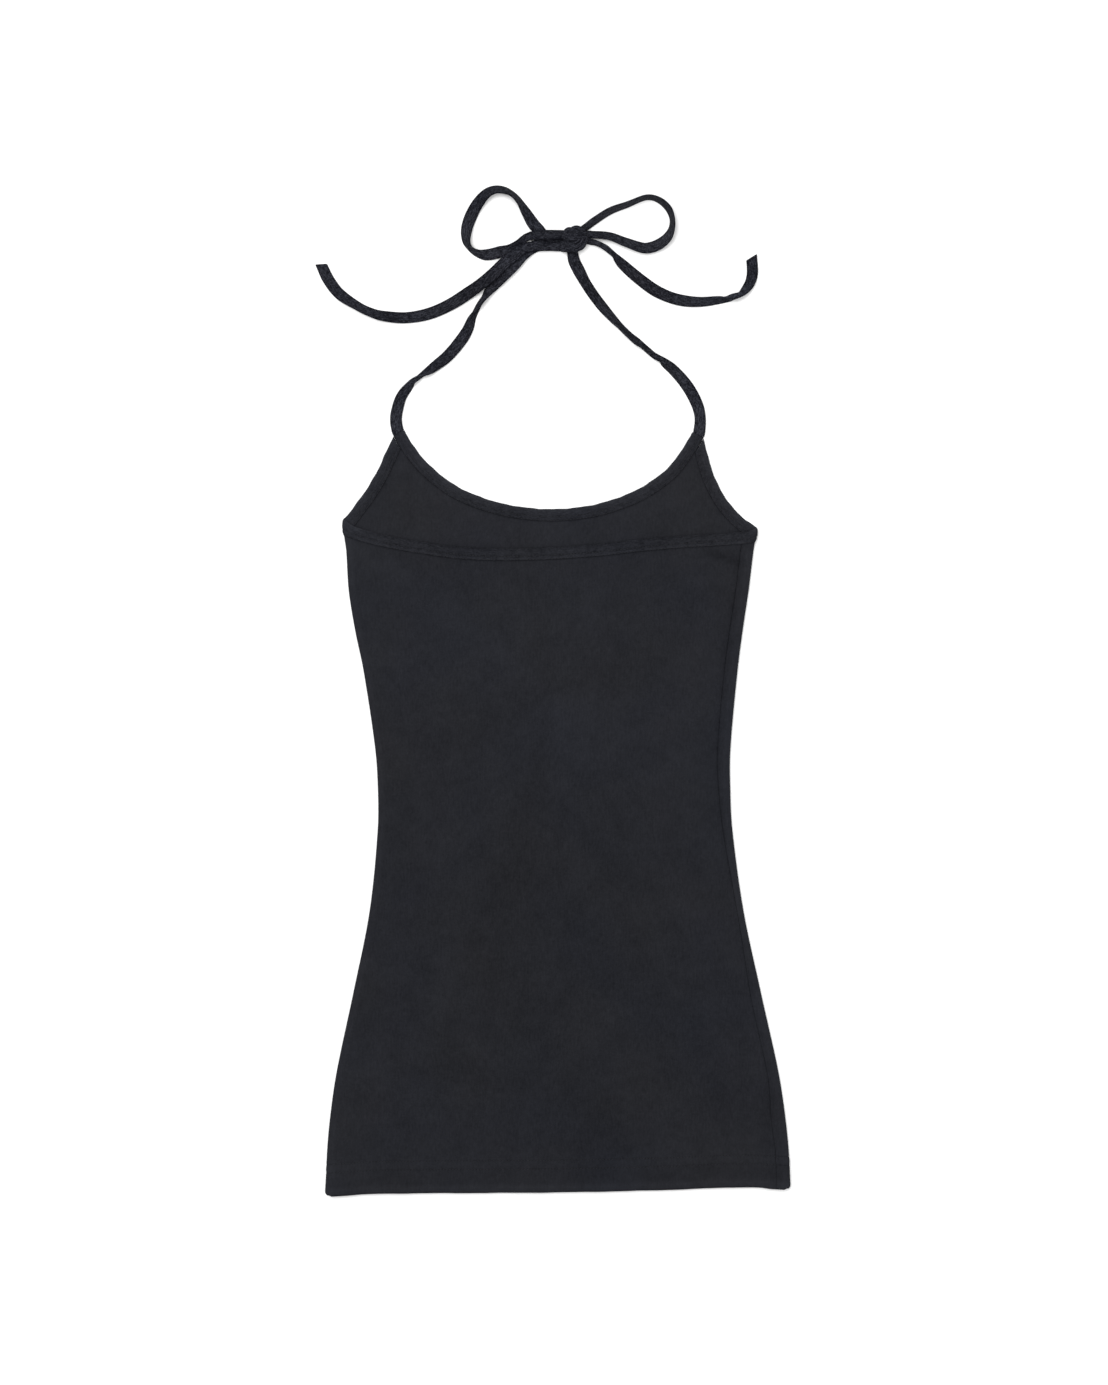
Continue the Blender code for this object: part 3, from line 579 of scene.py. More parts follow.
@dataclass(frozen=True)
class Form:
    """Vertices, faces, cloth coordinates and tone of one mesh, in millimetres."""

    verts: Array
    faces: list[tuple[int, ...]]
    lie: Array
    tone: Array

    @staticmethod
    def join(forms: Sequence["Form"]) -> "Form":
        """Several forms as one.

        Args:
            forms: the forms.

        Returns:
            The one form.
        """
        faces: list[tuple[int, ...]] = []
        start = 0
        for form in forms:
            faces += [tuple(index + start for index in face) for face in form.faces]
            start += len(form.verts)
        verts, lie, tone = (np.concatenate([getattr(form, part) for form in forms])
                            for part in ("verts", "lie", "tone"))
        return Form(verts, faces, lie, tone)


def grid_faces(first: int, rows: int, across: int, ring: bool = False) -> list[tuple[int, ...]]:
    """Faces between the rows of a grid of vertices.

    Args:
        first: index of its first vertex.
        rows: number of rows.
        across: vertices in a row.
        ring: whether each row closes on itself.

    Returns:
        The faces as four indices each.
    """
    row, column = np.meshgrid(np.arange(rows - 1), np.arange(across if ring else across - 1),
                              indexing="ij")
    here = row * across + column
    beside = row * across + (column + 1) % across
    quads = np.stack((here, beside, beside + across, here + across), axis=-1).reshape(-1, 4)
    return [tuple(quad) for quad in (quads + first).tolist()]


def ring_faces(first: int, rings: int, around: int) -> list[tuple[int, ...]]:
    """Faces of a closed skin through rings of vertices, with one face at either end.

    Args:
        first: the first ring's first vertex.
        rings: how many rings.
        around: vertices to a ring.

    Returns:
        The faces, as vertex numbers.
    """
    last = first + (rings - 1) * around
    return grid_faces(first, rings, around, ring=True) + [
        tuple(range(first, first + around)), tuple(range(last, last + around))]


def ring_form(rings: Array, lie: Array, tone: Array) -> Form:
    """Closed skin through rings of points."""
    return Form(rings.reshape(-1, 3), ring_faces(0, *rings.shape[:2]), lie.reshape(-1, 2),
                tone.reshape(-1))


class Wire:
    """A number on a shader's wire, which takes part in Python's arithmetic."""

    def __init__(self, graph: "Graph", socket: bpy.types.NodeSocket) -> None:
        """Wrap one output socket."""
        self.graph = graph
        self.socket = socket

    def _math(self, operation: str, *values: "Wire | float") -> "Wire":
        """A Math node on the given values."""
        return self.graph.node("ShaderNodeMath", {"operation": operation}, dict(enumerate(values)))

    def __add__(self, other: "Wire | float") -> "Wire":
        """Sum."""
        return self._math("ADD", self, other)

    __radd__ = __add__

    def __sub__(self, other: "Wire | float") -> "Wire":
        """Difference."""
        return self._math("SUBTRACT", self, other)

    def __rsub__(self, other: float) -> "Wire":
        """Difference from a plain number."""
        return self._math("SUBTRACT", other, self)

    def __mul__(self, other: "Wire | float") -> "Wire":
        """Product."""
        return self._math("MULTIPLY", self, other)

    __rmul__ = __mul__

    def wave(self) -> "Wire":
        """Sine of the value in radians, moved to run between 0 and 1."""
        return self._math("SINE", self) * 0.5 + 0.5

    def zigzag(self, height: float) -> "Wire":
        """The value folded to and fro between 0 and the height."""
        return self._math("PINGPONG", self, height)

    def clipped(self) -> "Wire":
        """The value kept between 0 and 1."""
        return self.graph.node("ShaderNodeClamp", {}, {"Value": self})


class Graph:
    """A material's nodes."""

    def __init__(self, name: str) -> None:
        """Start a material with its plain shader.

        Args:
            name: its name.
        """
        self.material = bpy.data.materials.new(name)
        self.material.use_nodes = True
        self.tree = self.material.node_tree
        self.shader = self.tree.nodes["Principled BSDF"]

    def node(self, kind: str, settings: dict[str, object], inputs: dict[str | int, object],
             output: str | int = 0) -> Wire:
        """Add one node.

        Args:
            kind: the node's type.
            settings: properties set before its sockets.
            inputs: values or wires by socket.
            output: the socket to give back.

        Returns:
            The output's wire.
        """
        made = self.tree.nodes.new(kind)
        for name, value in settings.items():
            setattr(made, name, value)
        self.feed(made, inputs)
        return Wire(self, made.outputs[output])

    def feed(self, node: bpy.types.Node, inputs: dict[str | int, object]) -> None:
        """Link wires to a node's sockets, or set their plain values.

        Args:
            node: the node.
            inputs: wires or values, by socket.
        """
        for key, value in inputs.items():
            if isinstance(value, Wire):
                self.tree.links.new(value.socket, node.inputs[key])
            else:
                node.inputs[key].default_value = value

    def dressed(self, inputs: dict[str | int, object]) -> bpy.types.Material:
        """The material, with its plain shader's inputs fed."""
        self.feed(self.shader, inputs)
        return self.material

    def object_place(self) -> Wire:
        """The place on the object, in metres."""
        return self.node("ShaderNodeTexCoord", {}, {}, output="Object")

    def noise(self, place: Wire, scale: float, detail: float = 2.0, roughness: float = 0.5) -> Wire:
        """Soft random values about 0, with blobs of one over the scale.

        Args:
            place: where to read it.
            scale: blobs to a unit.
            detail: how many finer layers.
            roughness: their share.

        Returns:
            The wire of the values.
        """
        made = self.node("ShaderNodeTexNoise", {}, {
            "Vector": place, "Scale": scale, "Detail": detail, "Roughness": roughness})
        return made - 0.5

    def blend(self, share: Wire | float, first: object, second: object, mode: str = "MIX") -> Wire:
        """Mix of two colours."""
        return self.node("ShaderNodeMix", {"data_type": "RGBA", "blend_type": mode},
                         {0: share, 6: first, 7: second}, output=2)

    def bump(self, height: Wire, distance: float, strength: float = 1.0) -> Wire:
        """Normal of a face whose height of 1 stands for a distance."""
        return self.node("ShaderNodeBump", {}, {
            "Strength": strength, "Distance": distance, "Height": height}, output="Normal")


@dataclass(frozen=True)
class JerseyFinish:
    """Washed blue-black jersey: fine wales, a heathery speckle, and paler high places, partly where the
    cloth wears and partly painted highlight, with painted shade in its hollows.
    """

    name: str
    deep: Colour
    pale: Colour
    level: float
    wash: float
    speckle: float = 0.85
    fineness: float = 1.0
    wear_and_shading: float = 0.34
    fuzz_depth: float = 0.1
    cool: Colour = (0.9, 0.98, 1.14)
    wale: float = 0.82
    course: float = 0.62
    lean: float = 7.0
    knit_depth: float = 0.05
    pill_depth: float = 0.16
    streaks: Triple = (640.0, 130.0, 1.0)
    speck_scale: float = 540.0
    roughness: float = 0.88
    gloss: float = 0.05
    sheen: float = 0.01
    sheen_roughness: float = 0.5

    def make(self) -> bpy.types.Material:
        """Build the material.

        Returns:
            The material.
        """
        graph = Graph(self.name)
        place = graph.object_place()
        lie = graph.node("ShaderNodeUVMap", {"uv_map": UV_NAME}, {}, output="UV")
        tone = graph.node("ShaderNodeAttribute", {"attribute_name": TONE_NAME}, {}, output="Fac")
        across, along = (graph.node("ShaderNodeSeparateXYZ", {}, {"Vector": lie}, output=axis)
                         for axis in "XY")
        stretched = graph.node("ShaderNodeVectorMath", {"operation": "MULTIPLY"},
                               {0: lie, 1: self.streaks})
        cloud = graph.noise(place, 13.0, 3.0, 0.55)
        patch = graph.noise(place, 46.0, 3.0, 0.6)
        grain = graph.noise(place, 190.0, 2.0, 0.6)
        streak = graph.noise(stretched, self.fineness, 2.0, 0.6)
        speck = graph.noise(place, self.speck_scale * self.fineness, 2.0, 0.65)
        tint = graph.noise(place, 9.0)

        # The tone attribute pales places where the cloth wears, and carries painted highlight and painted
        # shade
        faded_and_shaded = (self.level + self.wash * (0.9 * cloud + 0.75 * patch + 0.6 * grain)
                 + self.speckle * (0.9 * streak + 0.8 * speck) + self.wear_and_shading * tone)
        cloth = graph.blend(faded_and_shaded.clipped(), (*self.deep, 1.0), (*self.pale, 1.0))
        cooled = graph.blend(1.0, cloth, (*self.cool, 1.0), "MULTIPLY")

        leg = (across * (1.0 / (self.wale * MM))).zigzag(0.5)
        rib = (TURN * 2.0 * leg - 0.25 * TURN).wave()
        course = (along * (TURN / (self.course * MM)) + self.lean * leg).wave()
        height = (self.knit_depth * rib * (0.55 + 0.45 * course)
                  + self.fuzz_depth * (0.5 * speck + 0.5 * streak) + self.pill_depth * grain)
        return graph.dressed({
            "Base Color": graph.blend((0.3 + 1.3 * tint).clipped(), cloth, cooled),
            "Roughness": self.roughness + 0.12 * streak - 0.05 * tone,
            "Normal": graph.bump(height, MM),
            "Specular IOR Level": self.gloss,
            "Sheen Weight": self.sheen,
            "Sheen Roughness": self.sheen_roughness})


@dataclass(frozen=True)
class ThreadFinish:
    """Dark sewing thread, slightly glossier than the cloth."""

    name: str
    dark: Colour
    light: Colour
    roughness: float = 0.62
    gloss: float = 0.3
    ply_scale: float = 900.0
    ply_depth: float = 0.03

    def make(self) -> bpy.types.Material:
        """Build the material.

        Returns:
            The material.
        """
        graph = Graph(self.name)
        place = graph.object_place()
        fleck = graph.noise(place, self.ply_scale, 2.0, 0.6)
        drift = graph.noise(place, 60.0)
        share = (0.5 + 1.1 * fleck + 0.8 * drift).clipped()
        ply = graph.node("ShaderNodeTexWave", {"bands_direction": "DIAGONAL"}, {
            "Vector": place, "Scale": self.ply_scale, "Distortion": 1.5}, output="Fac")
        return graph.dressed({
            "Base Color": graph.blend(share, (*self.dark, 1.0), (*self.light, 1.0)),
            "Roughness": self.roughness + 0.2 * fleck,
            "Normal": graph.bump(ply, self.ply_depth * MM, 0.6),
            "Specular IOR Level": self.gloss})


@dataclass
class Wardrobe:
    """The materials of the top, made once each."""

    body: bpy.types.Material = field(init=False)
    binding: bpy.types.Material = field(init=False)
    tie: bpy.types.Material = field(init=False)
    thread: bpy.types.Material = field(init=False)

    def __post_init__(self) -> None:
        """Make them."""
        self.body = JerseyFinish("jersey_body", (0.0067, 0.0069, 0.0084), (0.0167, 0.0170, 0.0198),
                                 level=0.53, wash=0.66).make()
        self.binding = JerseyFinish("jersey_binding", (0.0055, 0.0057, 0.0072),
                                    (0.0205, 0.0210, 0.0246), level=0.44, wash=0.58, speckle=1.4,
                                    fineness=1.5, wear_and_shading=0.32).make()
        self.tie = JerseyFinish("jersey_tie", (0.0030, 0.0031, 0.0048), (0.0370, 0.0375, 0.0450),
                                level=0.20, wash=0.55, speckle=3.0, fineness=1.9, wear_and_shading=0.18,
                                fuzz_depth=0.13).make()
        self.thread = ThreadFinish("dark_thread", (0.004, 0.004, 0.0055), (0.011, 0.0115, 0.015)).make()


def placed(name: str, data: bpy.types.ID) -> bpy.types.Object:
    """A new object of the scene.

    Args:
        name: its name.
        data: what it shows.

    Returns:
        The object.
    """
    made = bpy.data.objects.new(name, data)
    bpy.context.scene.collection.objects.link(made)
    return made


def make_piece(name: str, form: Form, material: bpy.types.Material,
               stands_for: Sequence[str] = ()) -> bpy.types.Object:
    """Turn a form into a piece of the top that rides on its body.

    Args:
        name: the piece's name.
        form: its mesh in millimetres.
        material: its finish.
        stands_for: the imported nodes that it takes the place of.

    Returns:
        The new object.
    """
    mesh = bpy.data.meshes.new(name)
    mesh.from_pydata((form.verts * MM).tolist(), [], form.faces)
    layer = mesh.uv_layers.new(name=UV_NAME)
    corners = np.empty(len(mesh.loops), dtype=np.int32)
    mesh.loops.foreach_get("vertex_index", corners)
    layer.uv.foreach_set("vector", (form.lie[corners] * MM).astype(np.float32).ravel())
    tone = mesh.attributes.new(TONE_NAME, "FLOAT", "POINT")
    tone.data.foreach_set("value", form.tone.astype(np.float32))
    bm = bmesh.new()
    bm.from_mesh(mesh)
    bmesh.ops.recalc_face_normals(bm, faces=bm.faces)
    bm.to_mesh(mesh)
    bm.free()
    mesh.shade_smooth()
    mesh.materials.append(material)
    piece = placed(name, mesh)
    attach(piece, BODY)
    if stands_for:
        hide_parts(*stands_for)
    LOG.info("%s: %d faces", name, len(mesh.polygons))
    return piece


@dataclass(frozen=True)
class Stitching:
    """A run of short stitches, each a rounded thread that dips into the cloth at its ends."""

    length: float = 2.25
    pitch: float = STITCH_PITCH
    radius: float = 0.17
    sides: int = 5
    nudge: float = 0.3
    shares: tuple[float, ...] = (0.0, 0.14, 0.5, 0.86, 1.0)
    heights: tuple[float, ...] = (-0.16, 0.05, 0.12, 0.05, -0.16)
    girths: tuple[float, ...] = (0.55, 0.95, 1.0, 0.95, 0.55)

    def runs(self, at: Callable[[Array, float, float], Array], rows: Sequence[float], length: float,
             faces: Sequence[float] = (1.0, -1.0), margin: float = 2.0) -> Form:
        """Build runs of stitches along a strip of cloth.

        Args:
            at: gives the cloth's points for places along, across and out.
            rows: where the runs lie across.
            length: length of each run.
            faces: the faces that show them, 1 for the outer and -1 for the inner.
            margin: how far from its ends a run stops.

        Returns:
            All the stitches as one form.
        """
        starts = np.arange(margin, length - margin - self.length, self.pitch)
        places = starts[:, None] + np.array(self.shares) * self.length
        return Form.join([self._run(at, places, row, face) for row in rows for face in faces])

    def _run(self, at: Callable[[Array, float, float], Array], places: Array, row: float,
             face: float) -> Form:
        """One run, with a ring of the thread at each place.

        Args:
            at: gives the cloth's points.
            places: the rings' places along it.
            row: where it lies across.
            face: the face that shows it.

        Returns:
            The run's form.
        """
        spots = at(places, row, face)
        normals = unit(spots - at(places, row, 0.0))
        along = unit(at(places + self.nudge, row, face) - at(places - self.nudge, row, face))
        beside = unit(np.cross(normals, along))
        centres = spots + normals * np.array(self.heights)[:, None]
        angles = TURN * np.arange(self.sides) / self.sides
        reach = self.radius * np.array(self.girths)[:, None, None]
        rings = (centres[:, :, None] + reach * (np.cos(angles)[:, None] * beside[:, :, None]
                                                + np.sin(angles)[:, None] * normals[:, :, None]))
        faces: list[tuple[int, ...]] = []
        for stitch in range(len(places)):
            faces += ring_faces(stitch * len(self.shares) * self.sides, len(self.shares), self.sides)
        verts = rings.reshape(-1, 3)
        return Form(verts, faces, verts[:, :2].copy(), np.zeros(len(verts)))


@dataclass(frozen=True)
class StripSection:
    """Section of a strip folded along one edge, its two layers open at the other.

    Across runs from -2 at the fold to 2 at the open lips, with the flat part from -1 to 1.
    Out is 1 on one face and -1 on the other, and less inside the slot between the layers.
    """

    rows: tuple[float, ...]
    slot: float
    groove: float = 0.27
    groove_width: float = 0.42
    crown: float = 0.05
    pull_width: float = 1.5
    fold: tuple[float, ...] = (-2.0, -1.8, -1.55, -1.3, -1.1)
    flat: tuple[float, ...] = (-1.0, -0.85, -0.6, -0.35, -0.1, 0.1, 0.3, 0.5, 0.7, 0.88, 1.0)
    lips: tuple[float, ...] = (1.3, 1.6, 1.8)
    inside: tuple[float, ...] = (1.7, 1.0, 0.3, -0.5, -0.9)

    def outline(self, half_flat: float) -> tuple[Array, Array]:
        """The ring of section points as across and out, with close points at the grooves.

        Args:
            half_flat: half the width that lies flat.

        Returns:
            Places across, and out.
        """
        width = self.groove_width / half_flat
        grooved = [row + shift * width for row in self.rows for shift in (-2.0, -1.0, 0.0, 1.0, 2.0)]
        spaced = [value for value in self.flat if all(abs(value - row) > 0.75 * width for row in grooved)]
        top = [*self.fold, *sorted(spaced + [value for value in grooved if value < 1.05]), *self.lips]
        across = [*top, *self.inside, *self.inside[::-1], *top[:0:-1]]
        out = ([0.0] + [1.0] * (len(top) - 1) + [self.slot] * len(self.inside)
               + [-self.slot] * len(self.inside) + [-1.0] * (len(top) - 1))
        return np.array(across), np.array(out)

    def half_depth(self, across: Array, half_flat: Array, half: Array) -> Array:
        """Half the strip's thickness at places across it, with its crown and stitch grooves.

        Args:
            across: places across.
            half_flat: half the width that lies flat.
            half: half the depth at the middle.

        Returns:
            Half the thickness at each place.
        """
        share = 1.0 + self.crown * (1.0 - np.clip(across, -1.0, 1.0) ** 2) - self.crown
        share = share - self.groove * self.near_rows(across, half_flat, self.groove_width)
        return half * share * np.cos(self.turned(across))

    def shift(self, across: Array, half_flat: Array, half: Array) -> Array:
        """Distance from the strip's middle line for places across it."""
        rounded = np.sign(across) * half * np.sin(self.turned(across))
        return np.clip(across, -1.0, 1.0) * half_flat + rounded

    def turned(self, across: Array) -> Array:
        """Angle that the skin has turned through beyond the flat part."""
        return np.clip(np.abs(across) - 1.0, 0.0, 1.0) * 0.5 * math.pi

    def near_rows(self, across: Array, half_flat: Array, width: float) -> Array:
        """1 on the stitch rows, and less away from them."""
        return sum(bell((across - row) * half_flat, width) for row in self.rows)

    def pucker(self, place: Array, across: Array, half_flat: Array) -> Array:
        """Rise and fall of the cloth from stitch to stitch beside the rows."""
        return self.near_rows(across, half_flat, self.pull_width) * np.sin(TURN * place / STITCH_PITCH)


def strip_form(rings: Array, places: Array, gone: Array, out: Array, worn_and_shaded: Array) -> Form:
    """Skin of a folded strip.

    Args:
        rings: its points, ring by ring.
        places: each ring's place along it.
        gone: each point's distance from the fold.
        out: 1 on one face and -1 on the other.
        worn_and_shaded: tone of the two faces.

    Returns:
        The form, whose cloth coordinates are the distance from the fold, negative on the back, and
        the place along.
    """
    lie = np.stack(np.broadcast_arrays(np.where(out < 0.0, -gone, gone), places[:, None]), axis=-1)
    return ring_form(rings, lie, np.where(np.abs(out) < 0.9, HIDDEN_TONE, worn_and_shaded))


@dataclass
class FoldedBinding:
    """A strip folded over a free edge and sewn with two rows of stitches.

    With cuts, the lines of its mitred ends, it also turns round the side folds of a body.
    """

    name: str
    route: Route
    put: Callable[[Array, Array, Array], Array]
    cuts: tuple[Array, Array] | None = None
    body: LaidBody | None = None
    width: float = BINDING_WIDTH
    step: float = 1.7
    fold_step: float = 0.45
    fold_straight: Pair = (6.0, 10.0)
    fold_swell: Pair = (0.9, 6.5)
    end_ease: float = 16.0
    needle_rows: tuple[float, ...] = (6.9, 10.0)
    slot: float = 0.42
    waver: Table = ((0.14, 3.7, 0.0), (0.1, 1.9, 1.0))
    pucker: float = 0.055
    fold_wear: Triple = (0.95, 0.8, 0.6)
    band_calm: float = 0.8
    lip_shade: Triple = (1.1, 1.05, 0.3)
    edge_wear: Triple = (0.5, 3.0, 5.0)
    edge_lines: Table = ((1.2, 0.9, 0.45),)
    # Lines along the band: a painted highlight where its rolled lower edge catches light, and a darker
    # line near its fold
    band_lines: Table = ((9.4, 0.7, 0.6), (0.8, 1.2, -0.5))
    needle_shade: Pair = (0.35, 0.4)
    needle_reach: float = 0.55
    band_shade: float = 0.45
    fleck: float = 0.06
    half: float = field(init=False)
    half_flat: float = field(init=False)
    section: StripSection = field(init=False)

    def __post_init__(self) -> None:
        """Set the section from the sizes."""
        self.half = 0.5 * STRIP_DEPTH
        self.half_flat = 0.5 * (self.width - STRIP_DEPTH)
        rows = tuple((row - 0.5 * self.width) / self.half_flat for row in self.needle_rows)
        self.section = StripSection(rows, self.slot)

    def fold_distance(self, place: Array) -> Array:
        """Distance along the girth from the middle of the nearer side fold."""
        girth, y = np.moveaxis(self.route.point(place), -1, 0)
        return np.minimum(*(np.abs(girth - self.body.round_fold(side, 0.5, y)) for side in Side))

    def inward(self, place: Array) -> Array:
        """Direction and stretch of the line across the strip, from its free edge to its seam.

        Args:
            place: places along the strip.

        Returns:
            The vectors, in x and y.
        """
        square = -self.route.beside(place)
        line = square
        if self.cuts is not None:
            straight = 1.0 - ease(self.fold_distance(place), *self.fold_straight)
            line = square + straight[..., None] * (np.array((0.0, -1.0)) - square)
            for end, gone in ((self.cuts[0], place), (self.cuts[1], self.route.length - place)):
                share = 1.0 - smooth(gone / self.end_ease)
                line = line + share[..., None] * (end - line)
            line = unit(line)
        return line / np.sum(line * square, axis=-1, keepdims=True)

    def seam(self, place: Array, gap: float) -> Array:
        """Places beyond the strip's seam by a gap, or inside the strip where it is negative."""
        place = np.asarray(place, dtype=float)
        return self.route.point(place) + (self.width + gap) * self.inward(place)

    def stations(self) -> Array:
        """Places along the strip, closer together where it turns over a side fold.

        Returns:
            The places.
        """
        if self.cuts is None:
            return np.linspace(0.0, self.route.length, max(2, round(self.route.length / self.step)))
        places, place = [], 0.0
        while place < self.route.length - 0.5 * self.step:
            places.append(place)
            near = float(self.fold_distance(np.array(place)))
            place += min(self.step, max(self.fold_step, 0.3 * near))
        return np.array(places + [self.route.length])

    def at(self, place: Array, across: Array, out: Array) -> Array:
        """Points of the strip.

        Args:
            place: distance along the free edge.
            across: place in the section, from the fold to the lips.
            out: 1 on the garment's outside and -1 on its inside.

        Returns:
            The points, with x, y and z last.
        """
        place, across, out = np.broadcast_arrays(place, across, out)
        shift = self.section.shift(across, self.half_flat, self.half)
        loose = 0.5 - 0.5 * np.clip(across, -1.0, 1.0)
        reach = 0.5 * self.width + shift + waves_at(place, self.waver) * loose
        spot = self.route.point(place) + reach[..., None] * self.inward(place)
        half = self.section.half_depth(across, self.half_flat, self.half)
        swell = self.pucker * self.section.pucker(place, across, self.half_flat)
        if self.cuts is not None:
            rounded = np.cos(0.5 * math.pi * np.clip(0.7 * across, -1.0, 1.0))
            height, width = self.fold_swell
            swell = swell + height * rounded * bell(self.fold_distance(place), width) * (out > 0.9)
        points = self.put(spot[..., 0], spot[..., 1], out * half * (1.0 + swell))
        points[..., 2] = np.maximum(points[..., 2], 0.0)
        return points

    def worn_and_shaded(self, places: Array, across: Array, gone: Array) -> Array:
        """Tone of the faces: paler on their edges where the cloth wears, a painted highlight along the
        band's rolled lower edge, and painted shade along the needle rows and the lips.

        Args:
            places: the rings, along the strip.
            across: the points, across it.
            gone: their distance from the fold.

        Returns:
            The tone of each point.
        """
        # Band is 1 where the strip runs across the back, 0 up the armholes and at the neck
        band = np.zeros((len(places), 1))
        if self.cuts is not None:
            band = ease(np.abs(self.route.heading(places)[:, :1]), 0.9, 0.08)
        first, last = (bell((across - row) * self.half_flat, self.needle_reach)
                       for row in self.section.rows)
        flecks = self.fleck * np.sin(places / 4.1 + 2.0 * np.sin(places / 11.0))[:, None]
        edge = self.edge_wear[0] - graded(gone, self.edge_wear) + lines_at(gone, self.edge_lines)
        return ((1.0 - self.band_calm * band) * graded(-across, self.fold_wear)
                - graded(across, self.lip_shade)
                + band * lines_at(gone, self.band_lines) + (1.0 - band) * edge
                - (self.needle_shade[0] + self.band_shade * band) * first
                - self.needle_shade[1] * last + flecks)

    def form(self) -> Form:
        """The strip's skin.

        Returns:
            The form.
        """
        across, out = self.section.outline(self.half_flat)
        places = self.stations()
        rings = self.at(places[:, None], across, out)
        gone = 0.5 * self.width + self.section.shift(across, self.half_flat, self.half)
        return strip_form(rings, places, gone, out, self.worn_and_shaded(places, across, gone))

    def threads(self, stitching: Stitching) -> Form:
        """Both rows of stitches, on both faces."""
        return stitching.runs(self.at, self.section.rows, self.route.length)


@dataclass
class Block:
    """A family of a panel's columns that follow one rule."""

    shares: Array
    girth_of: Callable[[Array, Array], Array]
    tops: Array


@dataclass(frozen=True)
class Spots:
    """Where the vertices of a panel lie, column by column.

    Up counts from the hem, below from the bindings' seam, side from the nearer side fold, and
    seam from the nearer side seam.
    """

    girth: Array
    y: Array
    x: Array
    up: Array
    below: Array
    side: Array
    seam: Array


